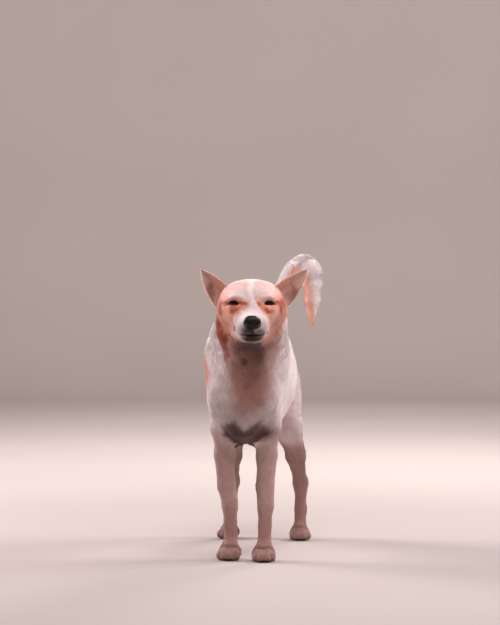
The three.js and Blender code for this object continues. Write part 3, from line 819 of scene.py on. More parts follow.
        # Painted shade on the lower cheeks.
        tan = mix(tan, Hue.SHADE.rgb, 0.35 * ramp(up, 6, -20) * ramp(side, 30, 44))
        edge = ramp(back, 118, 150) * (1 - ramp(up, 20, 44))
        tan = mix(tan, Hue.TAN.rgb, 0.6 * edge)
        colour = mix(colour, tan, head * mask * 0.95)
        for patch in EYE_PATCHES:
            colour = patch.over(colour, place, head)
        width = np.interp(up, BLAZE_UP, BLAZE_HALF)
        blaze = (1 - ramp(side, width - 3.0, width + 4.0)) * (1 - ramp(back, 156, 180))
        blaze = np.maximum(blaze, 1 - ramp(back, 50, 74))
        white = mix(Hue.WHITE.rgb[None], Hue.CREAM.rgb, ramp(up, 44, 26) * 0.8)
        # Painted shade on the muzzle's sides and underside.
        white = mix(white, Hue.ASH.rgb, 0.9 * ramp(up, 18, 0) * ramp(side, 7, 22))
        colour = mix(colour, white, head * blaze * 0.97)
        for patch in CHIN_PATCHES:
            colour = patch.over(colour, place, head)
        # Painted shadow under the chin.
        below = ramp(up, -34, -42) * ramp(back, 24, 60) * (1 - ramp(side, 14, 40))
        colour = mix(colour, Hue.DUSK.rgb, 0.97 * below * head)
        return MOUTH_CORNER.over(colour, place, head)

    def _ears(self, colour: Array, at: Array, labels: Array, inner: Array) -> Array:
        """Tan ears with thin hair over pinkish skin inside, painted shade in the hollow, painted
        light at the inner base, and a paler rim.

        Args:
            colour: The colours so far.
            at: Points on the skin, moved by the noise.
            labels: Each point's region, as its place in REGIONS.
            inner: 1 on the inside of an ear, 0 elsewhere.

        Returns:
            The colours with the ears'.
        """
        ear = among(labels, Region.EAR)
        place = HEAD.local(at)
        side, _, up = np.abs(place[:, 0]), place[:, 1], place[:, 2]
        out = mix(Hue.TAN.rgb[None], Hue.PINK.rgb, ramp(side + up, 130, 190))
        colour = mix(colour, out, ear * (1 - inner))
        flat = place * (1, 0, 1)
        flat[:, 0] = side
        inside = Hue.PINK.rgb[None]
        for patch in EAR_PATCHES:
            inside = patch.over(inside, flat)
        rim = ear * inner * (1 - inner) * 4
        colour = mix(colour, inside, ear * inner)
        return mix(colour, Hue.CREAM.rgb, 0.7 * np.clip(rim, 0, 1))


TAIL = tail_path()
TAIL_LENGTH = lengths_of(TAIL).sum()
# Inside the tail's curl. The hair that faces this point is the tail's under side.
TAIL_CURL = TAIL[[0, len(TAIL) // 2, -1]].mean(0) - (0.01, 0.05, 0)


# ---------------------------------------------------------------- the skin


@dataclass(frozen=True)
class Stroke:
    """A ridge or a crease along a line on the head, the same on both sides.

    Attributes:
        path: The line's corners, in millimetres from the nose.
        reach: How far the stroke reaches from its line, in millimetres.
        rise: How far it lifts the skin, or sinks it where negative, in millimetres.
    """

    path: tuple[tuple[float, float, float], ...]
    reach: float
    rise: float

    def lift(self, half: Array) -> Array:
        """How far it lifts places on one half of the head."""
        gap, _, _ = distance_to_path(half, np.array(self.path, float))
        return self.rise * np.exp(-((gap / self.reach) ** 2))


FACE_STROKES = (
    Stroke(((52, 108, -14), (57, 156, -14)), 22.0, -5.5),  # flat of the cheek
    Stroke(((64, 176, 6), (54, 158, -26), (36, 126, -44), (14, 92, -48)), 7.5, -4.5),  # jaw line
    Stroke(((18, 84, 44.5), (28, 84, 46.5), (40, 88, 45.5)), 4.2, 1.9),  # full lid under the brow
    Stroke(((16, 88, 55), (30, 90, 58), (46, 98, 55)), 8.0, -0.7),  # flat brow
    Stroke(((18, 84, 41), (30, 82, 44), (43, 88, 43)), 1.4, -0.3),  # fold over the upper lid
    Stroke(((17, 84, 32), (29, 79, 29), (42, 85, 30)), 1.8, -1.2),  # fold under the lower lid
    Stroke(((20, 80, 24), (32, 78, 21), (44, 86, 23)), 4.5, 1.7),  # smiling pouch below
    Stroke(((14, 78, 32), (18, 83, 34), (21, 87, 36)), 2.0, -0.8),  # inner corner
    Stroke(((43, 93, 37), (52, 101, 37), (60, 112, 35)), 2.4, -1.6),  # crease to the temple
    Stroke(((44, 92, 31), (52, 101, 30)), 1.8, -0.9),  # second crease
    Stroke(((0, 58, 40), (0, 80, 56), (0, 104, 68), (0, 140, 82)), 7.0, -1.2),  # furrow
    Stroke(((10, 66, 44), (12, 90, 62), (15, 130, 80)), 8.0, 0.3),  # brows' inner ridge
    Stroke(((22, 60, 12), (28, 80, 6), (38, 104, 0)), 6.5, -2.6),  # hollow under the cheekbone
    Stroke(((29, 68, -17), (34, 76, -12), (37, 84, -6)), 3.6, -2.4),  # behind the mouth's corner
    Stroke(((36, 62, -10), (41, 74, -3), (43, 84, 4)), 4.5, 1.5),  # fold of the smile
    Stroke(((0, 6, -15), (0, 6, -27)), 1.5, -1.8),  # groove under the nose
    Stroke(((15, 20, -13), (20, 38, -12), (25, 54, -10)), 9.5, 2.0),  # whisker pad
)


@dataclass
class Eyelids:
    """The lids, which hug the eyeball and leave a narrow opening.

    Attributes:
        ball: The eyeball's radius, in millimetres.
        cover: How thick the lids are.
        half_width: Half the width of the opening.
        top: How high the opening's upper edge arches.
        bottom: How low its lower edge hangs.
        lift: How far the opening's middle is above the eyeball's.
        tilt: How much the outer corner is above the inner one, as a slope.
        look: The way the opening faces, out to the side, in radians.
    """

    ball: float = 10.5
    cover: float = 1.2
    half_width: float = 10.8
    top: float = 5.4
    bottom: float = 1.7
    lift: float = -2.2
    tilt: float = 0.0
    look: float = 0.26

    def axes(self, side: Side) -> Array:
        """The opening's own axes in the head: outwards along it, ahead, and up across it.

        Args:
            side: The side of the head.

        Returns:
            The three axes, one a row.
        """
        s = side.value
        ahead = np.array([s * math.sin(self.look), -math.cos(self.look), 0.04])
        ahead /= np.linalg.norm(ahead)
        along = np.array([s * math.cos(self.look), math.sin(self.look), self.tilt])
        along -= ahead * (along @ ahead)
        along /= np.linalg.norm(along)
        return np.array([along, ahead, s * np.cross(ahead, along)])

    def places(self, local: Array, side: Side) -> Array:
        """Points of the head in the opening's axes, from the middle of the eyeball."""
        centre = np.array([side.value * HEAD.eye_side, HEAD.eye_back, HEAD.eye_up])
        return (local - centre) @ self.axes(side).T

    def inside(self, place: Array) -> Array:
        """How far points are inside the opening's outline, in millimetres.

        Args:
            place: Points in the opening's axes.

        Returns:
            The depths, negative outside.
        """
        along, up = place[:, 0], place[:, 2] - self.lift
        arch = np.sqrt(np.clip(1 - (along / self.half_width) ** 2, 0, 1))
        top = self.top * (1 - 0.2 * along / self.half_width)
        gap = np.where(up > 0, top * arch - up, self.bottom * arch + up)
        over = np.abs(along) - self.half_width
        return np.where(over > 0, np.minimum(-over, gap), gap)

    def shape(self, local: Array) -> Array:
        """Moves points of the head so that they form the lids of both eyes.

        Args:
            local: Places in the head.

        Returns:
            The same places, moved.
        """
        for side in Side:
            place = self.places(local, side)
            across = np.linalg.norm(place[:, [0, 2]], axis=1)
            near = (across < 22) & (place[:, 1] > -6)
            p, across = place[near], across[near]
            reach = np.linalg.norm(p, axis=1)
            lid = self.ball + self.cover
            want = np.maximum(reach, mix(reach, lid, 1 - ramp(across, 10, 20)))
            depth = self.inside(p)
            hug = ramp(depth, -5.5, -1.5)
            want = mix(want, lid, hug)
            want += 0.5 * np.exp(-(((depth + 1.0) / 0.8) ** 2)) * hug
            want = mix(want, self.ball - 2.0, ramp(depth, -0.3, 0.5))
            local[near] += (unit(p) * (want - reach)[:, None]) @ self.axes(side)
        return local

    def rims(self, local: Array) -> tuple[Array, Array]:
        """The dark rims of the lids, and how near the eyes' openings points are.

        Args:
            local: Places in the head.

        Returns:
            1 on the rims and in the openings, fading to 0; and the distance to the nearest
            opening's edge, in millimetres.
        """
        bare, gap = np.zeros(len(local)), np.full(len(local), FAR)
        for side in Side:
            place = self.places(local, side)
            near = (np.linalg.norm(place, axis=1) < 30) & (place[:, 1] > 0)
            depth = np.where(near, self.inside(place), -FAR)
            bare = np.maximum(bare, ramp(depth, -2.3, -1.0))
            gap = np.minimum(gap, -depth)
        return bare, gap


@dataclass
class Mouth:
    """The closed mouth: its line, its lips and the dark skin along them.

    Attributes:
        corner_back: How far the mouth's corners are behind the nose, in millimetres.
        corner_up: Their height from the nose.
        drop: How far the line drops from the corners to the front.
    """

    corner_back: float = 72.0
    corner_up: float = -15.5
    drop: float = 9.5

    def line(self, back: Array) -> Array:
        """The height of the mouth's line."""
        run = np.clip(back / self.corner_back, 0, 1)
        return self.corner_up - self.drop * (1 - run**1.6)

    def gap(self, local: Array) -> Array:
        """How far points are from the mouth's line, past its corners too."""
        back, up = local[:, 1], local[:, 2]
        past = np.maximum(back - self.corner_back, 0)
        return np.hypot(up - self.line(back), past)

    def shape(self, local: Array, facing: Array) -> Array:
        """Sinks the line and rolls the lips beside it.

        Args:
            local: Places in the head.
            facing: The way the skin faces there.

        Returns:
            The same places, moved.
        """
        gap = self.gap(local)
        below = local[:, 2] < self.line(local[:, 1])
        end = ramp(local[:, 1], 86, 74)
        front = ramp(local[:, 1], 30, 8)
        sink = -(1.8 + 1.0 * front) * np.exp(-((gap / (1.1 + 0.7 * front)) ** 2))
        sink += 1.0 * np.exp(-(((gap - 4.5) / 2.6) ** 2)) * ~below
        sink += np.where(below, -1.2, 0.0) * np.exp(-((gap / 6) ** 2))
        return local + facing * (sink * end)[:, None]

    def dark(self, local: Array) -> Array:
        """1 along the lips and round the nose, fading to 0.

        Args:
            local: Places in the head.

        Returns:
            One number for each place.
        """
        side, back, up = local.T
        half = 0.5 + 1.5 * ramp(back, 30, 8)
        lips = (1 - ramp(self.gap(local), half, half + 1.4)) * ramp(back, 82, 74)
        groove = (1 - ramp(np.abs(side), 0.8, 2.6)) * ramp(back, 30, 20) * (up < -8) * (up > -27)
        room = np.linalg.norm((local - (0, 6, -1)) / (19.5, 14, 16), axis=1)
        return np.clip(np.maximum(np.maximum(lips, groove), 1 - ramp(room, 0.85, 1.0)), 0, 1)


@dataclass
class Toes:
    """The four toes of a paw, each a finger of skin from its knuckle to its claw.

    Attributes:
        paw: The paw's node.
        radius: The radius of a toe, in metres.
        reach: How far the toes' middle lines run back from the paw's front, in metres.
        top: How high the paw's skin is still drawn onto the toes, in metres.
        steps: Places on a toe's middle line, in millimetres: back from its claw, and up.
    """

    paw: str
    radius: float = 7.4 * MM
    reach: float = 58 * MM
    top: float = 34 * MM
    steps: tuple[tuple[float, float], ...] = ((5.5, 9.5), (20, 15.5), (36, 26))

    def __post_init__(self) -> None:
        """Lays each toe's middle line from its claw."""
        low, high = box_of(self.paw)
        wrist = np.array([(low[0] + high[0]) / 2, low[1] + self.reach, 0])
        self.lines = []
        for claw in claws_of(self.paw):
            level = middle(claw) * (1, 1, 0)
            run = unit(wrist - level)
            line = [level + run * back * MM + (0, 0, up * MM) for back, up in self.steps]
            self.lines.append(np.array(line))

    def gap(self, at: Array) -> Array:
        """How far points are outside the toes, which melt together a little."""
        soft = 1.3 * MM
        gaps = [distance_to_path(at, line)[0] - self.radius for line in self.lines]
        return -soft * np.log(sum(np.exp(-np.clip(g, -0.02, 0.05) / soft) for g in gaps))

    def shape(self, skin: Surface, mine: Array) -> None:
        """Draws the skin of the paw onto its toes.

        Args:
            skin: The skin's surface, which is moved.
            mine: Which of its points belong to the paw.
        """
        front = np.array(self.lines)[:, 1, 1].mean()
        zone = mine & (skin.co[:, 2] < self.top)
        for _ in range(4):
            facing = skin.normals()
            share = zone * ramp(skin.co[:, 1], front + 10 * MM, front - 2 * MM)
            share = share * ramp(facing[:, 2], -0.8, -0.45)
            share = share * ramp(skin.co[:, 2], self.top, self.top - 10 * MM)
            move = -0.6 * np.clip(self.gap(skin.co), -3 * MM, 3 * MM)
            skin.co += facing * (move * share)[:, None]
        skin.soften(1, zone * 0.6)


@dataclass
class Skin:
    """The one skin under the coat, grown from the solids of flesh.

    Attributes:
        voxel: The spacing of its mesh.
        ear_voxel: The spacing of the ears' mesh.
        swell: How far each solid swells so that neighbours close up.
        dock: The radius of the tail under its hair, as a share of the radius of its hair.
        dock_end: How far the tail's skin stops before the tip of its hair.
        jaw_narrow: How much narrower the jaws are than the cheeks, as a share.
        samples: How many points of each solid tell which region the skin belongs to.
        lids: The lids of the eyes.
        mouth: The mouth.
    """

    voxel: float = 4.0 * MM
    ear_voxel: float = 1.9 * MM
    swell: float = 0.9 * MM
    dock: float = 0.95
    dock_end: float = 22.0 * MM
    jaw_narrow: float = 0.1
    samples: int = 2600
    lids: Eyelids = field(default_factory=Eyelids)
    mouth: Mouth = field(default_factory=Mouth)

    def build(self) -> Surface:
        """Makes the skin.

        Returns:
            The skin's surface. Its labels, coat depth and bare places stay with the maker.
        """
        self.piece = self._flesh()
        self._refine()
        skin = Surface(self.piece)
        self._label(skin)
        rounds = self.per_region(skin, lambda g: g.rounds, 6)
        face = (HEAD.local(skin.co)[:, 1] < FACE_BACK) & among(self.labels, *FACE)
        skin.relax(np.where(face, rounds * 1.7, rounds))
        skin.save()
        self._join_ears()
        skin = Surface(self.piece)
        self._label(skin)
        ear = skin.spread(among(self.labels, Region.EAR).astype(float), 5)
        skin.soften(8, (ear > 0.04) * (ear < 0.8) * 1.0)
        self.depth = self.per_region(skin, lambda g: g.depth, 25) * MM
        skin.co -= skin.normals() * self.depth[:, None]
        self._thin_tail(skin)
        self._shape_face(skin)
        self._shape_paws(skin)
        skin.save()
        return skin

    def _flesh(self) -> bpy.types.Object:
        """Joins swollen copies of the solids of flesh, but for the ears, into one closed mesh.

        Returns:
            The mesh object.
        """
        copies = [copy_of(n, self.swell) for n in FLESH if "ear" not in n]
        copies.append(copy_of("nose", -2.0 * MM))
        copies += [copy_of(f"eye_{side.word}", 1.2 * MM) for side in Side]
        only(*copies)
        bpy.ops.object.join()
        piece = copies[0]
        piece.name = piece.data.name = "skin"
        apply_modifier(piece, "REMESH", mode="VOXEL", voxel_size=self.voxel)
        return piece

    def _join_ears(self) -> None:
        """Makes thin, smooth ears and unites them with the head."""
        for side in Side:
            node = f"ear_{side.word}"
            piece = copy_of(node, 0.6 * MM)
            apply_modifier(piece, "REMESH", mode="VOXEL", voxel_size=self.ear_voxel)
            ear = Surface(piece)
            ear.relax(np.full(ear.count, 110.0))
            ear.co -= ear.normals() * 1.1 * MM
            root = joint_between(node, "head")
            axis = unit(corners(node).mean(0) - root)
            run = (ear.co - root) @ axis / MM
            ear.co -= axis * (7 * MM * (1 - ramp(run, 0, 14)))[:, None]
            ear.save()
            apply_modifier(
                self.piece, "BOOLEAN", operation="UNION", solver="MANIFOLD", object=piece
            )
            bpy.data.objects.remove(piece)

    def _refine(self) -> None:
        """Halves the mesh's spacing on the face and the toes, and again at the eyes and lips."""
        mesh = self.piece.data

        def split(wanted: Callable[[Array], Array]) -> None:
            """Subdivides the faces whose middles are wanted.

            Args:
                wanted: Tells which of the faces' middles are wanted.
            """
            chosen = wanted(read(mesh.polygons, "center", 3, np.float32))
            only(self.piece)
            with editing():
                bpy.ops.mesh.select_all(action="DESELECT")
            mesh.polygons.foreach_set("select", chosen)
            with editing():
                bpy.ops.mesh.select_mode(type="FACE")
                bpy.ops.mesh.subdivide(number_cuts=1, smoothness=0)

        def features(at: Array) -> Array:
            """The face and the toes.

            Args:
                at: The faces' middles.

            Returns:
                Whether each is wanted.
            """
            side, back, _ = HEAD.local(at).T
            face = (back < FACE_BACK) & (np.abs(side) < 66)
            toes = (at[:, 2] < 40 * MM) & ~((at[:, 1] > -0.07) & (at[:, 1] < 0.26))
            return face | toes

        def finest(at: Array) -> Array:
            """Round the eyes and the lips.

            Args:
                at: The faces' middles.

            Returns:
                Whether each is wanted.
            """
            local = HEAD.local(at)
            eyes = [np.linalg.norm(self.lids.places(local, s)[:, [0, 2]], axis=1) for s in Side]
            near = (np.minimum(*eyes) < 16) & (local[:, 1] < 108)
            return near | ((self.mouth.gap(local) < 6) & (local[:, 1] < 84))

        def lid_edges(at: Array) -> Array:
            """The edges of the lids."""
            local = HEAD.local(at)
            depth = [self.lids.inside(self.lids.places(local, s)) for s in Side]
            return (np.maximum(*depth) > -4) & (local[:, 1] < 100) & (local[:, 1] > 70)

        for wanted in (features, finest, lid_edges):
            split(wanted)

    def _label(self, skin: Surface) -> None:
        """Finds each point's nearest node, as its place in NODES, and from it its region.

        Args:
            skin: The skin's surface.
        """
        points = [sampled(node, self.samples) for node in NODES]
        owners = np.repeat(np.arange(len(NODES)), [len(p) for p in points])
        tree = tree_of(np.concatenate(points))
        self.node = owners[[tree.find(p)[1] for p in skin.co]]
        self.labels = np.array([FLESH[n].at for n in NODES])[self.node]

    def per_region(self, skin: Surface, value: Callable[[Growth], float], rounds: int) -> Array:
        """A region's number for each point, smoothed where regions meet."""
        numbers = np.array([value(r.value) for r in REGIONS], float)
        return skin.spread(numbers[self.labels], rounds)

    def _thin_tail(self, skin: Surface) -> None:
        """Draws the tail's skin in to its dock, which leaves room for its plume.

        Args:
            skin: The skin's surface, which is moved.
        """
        tail = among(self.labels, Region.TAIL)
        gap, _, run = distance_to_path(skin.co, TAIL)
        bins = np.linspace(0, 1, 15)
        place = np.digitize(run[tail], bins)
        hull = np.array([gap[tail][place == i].mean() for i in range(1, len(bins))])
        hull = np.interp(run, (bins[:-1] + bins[1:]) / 2, hull)
        short = run - self.dock_end / TAIL_LENGTH * ramp(run, 0.55, 1)
        offset = skin.co - along_path(TAIL, run)
        want = along_path(TAIL, short) + offset * self.dock
        share = skin.spread(tail * ramp(run, 0.03, 0.16), 4)
        skin.co += (want - skin.co) * share[:, None]
        runs = np.linspace(0, 1, 21)
        order = np.argsort(run[tail])
        radii = np.interp(runs, run[tail][order], hull[tail][order])
        radii = np.append(radii * ramp(runs, 1.08, 0.8), 0.0)
        self.plume = Plume(np.append(runs, 1.04), radii, self.dock)

    def _shape_face(self, skin: Surface) -> None:
        """Sculpts the folds, the lids and the mouth.

        Args:
            skin: The skin's surface, which is moved.
        """
        local = HEAD.local(skin.co)
        face = among(self.labels, *FACE)
        facing = skin.normals() @ HEAD.axes.T
        half = local.copy()
        half[:, 0] = np.abs(half[:, 0])
        lift = sum(stroke.lift(half) for stroke in FACE_STROKES)
        hold = skin.spread(face.astype(float), 10)
        local += facing * (lift * hold)[:, None]
        low = ramp(local[:, 2], 24, -16) * ramp(local[:, 1], 78, 112)
        local[:, 0] *= 1 - self.jaw_narrow * low * hold
        local = np.where(face[:, None], self.mouth.shape(local, facing), local)
        local = self.lids.shape(local)
        skin.co = HEAD.world(local)
        rims, eye_gap = self.lids.rims(local)
        self.bare = np.maximum(rims, self.mouth.dark(local)) * face
        near_mouth = np.where(local[:, 1] < 84, self.mouth.gap(local), FAR)
        self.edge = np.where(face, np.minimum(eye_gap, near_mouth), FAR)

    def _shape_paws(self, skin: Surface) -> None:
        """Parts the toes, and keeps the soles on the floor.

        Args:
            skin: The skin's surface, which is moved.
        """
        for name in PAWS:
            Toes(name).shape(skin, self.node == NODES.index(name))
        paws = np.isin(self.node, [NODES.index(n) for n in PAWS])
        skin.co[:, 2] = np.where(paws, np.maximum(skin.co[:, 2], FLOOR_GAP), skin.co[:, 2])
        self.claws = np.full(skin.count, FAR)
        for claw in (claw for paw in PAWS for claw in claws_of(paw)):
            gap = np.linalg.norm(skin.co - middle(claw), axis=1) / MM
            self.claws = np.minimum(self.claws, gap)


# ---------------------------------------------------------------- the lie of the coat


@dataclass
class Lie:
    """The way the hair grows: from the nose back over the head, then down and back.

    Attributes:
        rounds: How many rounds of smoothing turn the regions into one flow.
        ear_tip: The left ear's tip, as a place in the head.
        ear_root: Its root.
    """

    rounds: int = 14
    ear_tip: tuple[float, float, float] = (104, 150, 98)
    ear_root: tuple[float, float, float] = (46, 130, 30)

    def over(self, skin: Surface, labels: Array, node: Array, facing: Array) -> Array:
        """The direction of the hair at each point, along the surface.

        Args:
            skin: The skin's surface.
            labels: Each point's region, as its place in REGIONS.
            node: Each point's node, as its place in NODES.
            facing: The way the skin faces.

        Returns:
            A direction of length one for each point.
        """
        at = skin.co
        way = np.zeros_like(at)
        for region in Region:
            mine = labels == region.at
            way[mine] = self._raw(region, at[mine], facing[mine])
        for side in Side:
            mine = node == NODES.index(f"ear_{side.word}")
            way[mine] = self._ear(side, at[mine])
        for _ in range(self.rounds):
            way = unit(way - facing * (way * facing).sum(1, keepdims=True))
            way = (way + skin.neighbours(way)) / 2
        return unit(way - facing * (way * facing).sum(1, keepdims=True))

    def _raw(self, region: Region, at: Array, facing: Array) -> Array:
        """The flow of one region before it is laid on the surface.

        Args:
            region: The region.
            at: Its points.
            facing: The way the skin faces there.

        Returns:
            A direction for each point.
        """
        down = np.array([0.0, 0.0, -1.0])
        back = np.array([0.0, 1.0, 0.0])
        ahead = np.clip(-facing[:, 1], 0, 1)[:, None]
        if region in FACE:
            local = HEAD.local(at)
            way = unit(local - (0, -10, -4))
            way[:, 2] -= 0.35 * ramp(np.abs(local[:, 0]), 30, 55) * ramp(local[:, 1], 60, 100)
            return way @ HEAD.axes
        if region is Region.NECK:
            return unit(back * (0.75 - 0.7 * ahead) + down * (0.75 + 0.5 * ahead))
        if region is Region.TRUNK:
            inward = np.zeros_like(at)
            inward[:, 0] = -np.tanh((at[:, 0] + 0.012) / 0.02)
            chest = ahead * ramp(-at[:, 1], 0.03, 0.1)[:, None]
            flow = back * (1 - chest) + down * (0.32 + 1.1 * chest)
            return unit(flow + inward * 0.45 * chest)
        if region is Region.TAIL:
            return distance_to_path(at, TAIL)[1]
        if region is Region.THIGH:
            return unit(down + 0.55 * back) + np.zeros_like(at)
        return unit(down + 0.16 * back) + np.zeros_like(at)

    def _ear(self, side: Side, at: Array) -> Array:
        """From the ear's root to its tip, fanning out to the edges.

        Args:
            side: The side of the head.
            at: The ear's points.

        Returns:
            A direction for each point.
        """
        flip = (side.value, 1, 1)
        tip, root = (HEAD.world(np.multiply(p, flip)) for p in (self.ear_tip, self.ear_root))
        axis = unit(tip - root)
        off = (at - root) - ((at - root) @ axis)[:, None] * axis
        return unit(axis + 0.5 * unit(off))


# ---------------------------------------------------------------- materials


TINT = {"data_type": "RGBA", "blend_type": "MULTIPLY"}  # a Mix node that darkens a colour
BLEND = {"data_type": "RGBA"}  # a Mix node that fades one colour into another


def set_stops(
    elements: bpy.types.bpy_prop_collection, stops: tuple[tuple[float, str], ...]
) -> None:
    """Gives a colour ramp these places and sRGB colours.

    Args:
        elements: The ramp's elements.
        stops: The place and the colour of each stop.
    """
    while len(elements) < len(stops):
        elements.new(0.5)
    for element, (place, colour) in zip(elements, stops):
        element.position, element.color = place, (*linear(colour), 1)


@dataclass
class Shader:
    """A material under construction: its nodes and its Principled shader.

    Attributes:
        name: The material's name.
        sockets: The constant settings of its Principled shader.
    """

    name: str
    sockets: dict[str, object]

    def __post_init__(self) -> None:
        """Starts the material with one Principled shader."""
        self.material = bpy.data.materials.new(self.name)
        self.material.use_nodes = True
        self.tree = self.material.node_tree
        self.main = self.tree.nodes["Principled BSDF"]
        for socket, value in self.sockets.items():
            self.main.inputs[socket].default_value = value

    def add(self, kind: str, settings: dict[str, object] | None = None, **links: object) -> object:
        """Adds a node.

        Args:
            kind: The node's type, without its ShaderNode prefix.
            settings: Properties of the node by name, and the stops of a colour ramp as stops.
            links: What each socket takes, by its name with _ for a space: a value, or an output
                socket to link. A name that starts with in and a number is that input.

        Returns:
            The node.
        """
        node = self.tree.nodes.new("ShaderNode" + kind)
        for name, value in (settings or {}).items():
            if name == "stops":
                set_stops(node.color_ramp.elements, value)
            else:
                setattr(node, name, value)
        for name, value in links.items():
            numbered = name[:2] == "in" and name[2:].isdigit()
            key = int(name[2:]) if numbered else name.replace("_", " ")
            if isinstance(value, bpy.types.NodeSocket):
                self.tree.links.new(value, node.inputs[key])
            else:
                node.inputs[key].default_value = value
        return node

    def feed(self, socket: str, output: bpy.types.NodeSocket) -> None:
        """Links an output to a socket of the Principled shader."""
        self.tree.links.new(output, self.main.inputs[socket])


@dataclass(frozen=True)
class HairFinish:
    """Dog hair, dry and short: it scatters light softly and has a faint sheen along its locks.

    Attributes:
        name: The material's name.
    """

    name: str = "dog_hair"

    def make(self) -> bpy.types.Material:
        """Builds the material.

        Returns:
            The material.
        """
        sockets = {"Roughness": 0.72, "Specular IOR Level": 0.28}
        sockets |= {"Sheen Weight": 0.16, "Sheen Roughness": 0.5}
        shader = Shader(self.name, sockets)
        hue = shader.add("Attribute", {"attribute_name": HUE})
        place = shader.add("TexCoord")
        # Single hairs are 0.06 mm thick, too fine to show, so the flecks are drawn 1.6 mm apart.
        fleck = shader.add("TexNoise", Vector=place.outputs["Object"], Scale=620.0, Detail=1.0)
        stops = (0.3, "#dcd8d6"), (0.7, "#ffffff")
        shade = shader.add("ValToRGB", {"stops": stops}, Fac=fleck.outputs["Fac"])
        colour = shader.add(
            "Mix", TINT, in0=0.4, in6=hue.outputs["Color"], in7=shade.outputs["Color"]
        )
        shader.feed("Base Color", colour.outputs[2])
        return shader.material


@dataclass(frozen=True)
class HideFinish:
    """Skin under short hair. Where it is bare, on lids, lips and pads, it is dark and moist.

    Attributes:
        name: The material's name.
    """

    name: str = "dog_skin"

    def make(self) -> bpy.types.Material:
        """Builds the material.

        Returns:
            The material.
        """
        shader = Shader(self.name, {"Specular IOR Level": 0.32, "Sheen Weight": 0.1})
        hue = shader.add("Attribute", {"attribute_name": HUE})
        bare = shader.add("Attribute", {"attribute_name": BARE})
        place = shader.add("TexCoord").outputs["Object"]
        lie = shader.add("Attribute", {"attribute_name": LIE}).outputs["Vector"]
        # Hairs are drawn 1.1 mm apart. Five looks along the lie, 1.3 mm apart, draw them out.
        streak = None
        for step in range(-2, 3):
            way = (step * 1.3 * MM,) * 3
            shifted = shader.add(
                "VectorMath", {"operation": "MULTIPLY_ADD"}, in0=lie, in1=way, in2=place
            )
            look = shader.add("TexNoise", Vector=shifted.outputs[0], Scale=900.0, Detail=1.0)
            level = shader.add("Math", {"operation": "MULTIPLY"}, in0=look.outputs["Fac"], in1=0.2)
            if streak:
                level = shader.add(
                    "Math", {"operation": "ADD"}, in0=level.outputs[0], in1=streak.outputs[0]
                )
            streak = level
        stops = (0.42, "#cfc7c3"), (0.56, "#ffffff")
        shade = shader.add("ValToRGB", {"stops": stops}, Fac=streak.outputs[0])
        colour = shader.add(
            "Mix", TINT, in0=0.5, in6=hue.outputs["Color"], in7=shade.outputs["Color"]
        )
        shader.feed("Base Color", colour.outputs[2])
        rough = shader.add("MapRange", Value=bare.outputs["Fac"], in3=0.78, in4=0.34)
        shader.feed("Roughness", rough.outputs[0])
        # Bare skin has creases 0.5 mm apart, drawn at 0.9 mm.
        edges = {"feature": "DISTANCE_TO_EDGE"}
        crease = shader.add("TexVoronoi", edges, Vector=place, Scale=1100.0)
        both = shader.add(
            "Mix",
            {"data_type": "FLOAT"},
            in0=bare.outputs["Fac"],
            in2=streak.outputs[0],
            in3=crease.outputs["Distance"],
        )
        bump = shader.add("Bump", Strength=0.7, Distance=1.6 * MM, Height=both.outputs[0])
        shader.feed("Normal", bump.outputs[0])
        return shader.material


@dataclass(frozen=True)
class NoseFinish:
    """The nose leather: bare, black, pebbled and a little wet.

    Attributes:
        name: The material's name.
    """

    name: str = "nose_leather"

    def make(self) -> bpy.types.Material:
        """Builds the material.

        Returns:
            The material.
        """
        sockets = {"Roughness": 0.36, "Specular IOR Level": 0.3}
        sockets |= {"Coat Weight": 0.02, "Coat Roughness": 0.25}
        shader = Shader(self.name, sockets)
        place = shader.add("TexCoord").outputs["Object"]
        # The pebbles of a dog's nose are about 0.9 mm across, drawn at 1.3 mm.
        edges = {"feature": "DISTANCE_TO_EDGE"}
        pebble = shader.add("TexVoronoi", edges, Vector=place, Scale=780.0)
        blotch = shader.add("TexNoise", Vector=place, Scale=240.0, Detail=3.0)
        stops = (0.3, "#030304"), (0.75, "#08080a")
        colour = shader.add("ValToRGB", {"stops": stops}, Fac=blotch.outputs["Fac"])
        # The nostrils are painted blacker, as the shade deep inside them.
        deep = shader.add("Attribute", {"attribute_name": BARE})
        black = (0.001, 0.001, 0.001, 1.0)
        dark = shader.add(
            "Mix", BLEND, in0=deep.outputs["Fac"], in6=colour.outputs["Color"], in7=black
        )
        shader.feed("Base Color", dark.outputs[2])
        height = pebble.outputs["Distance"]
        bump = shader.add("Bump", Strength=0.6, Distance=0.5 * MM, Height=height)
        shader.feed("Normal", bump.outputs[0])
        return shader.material


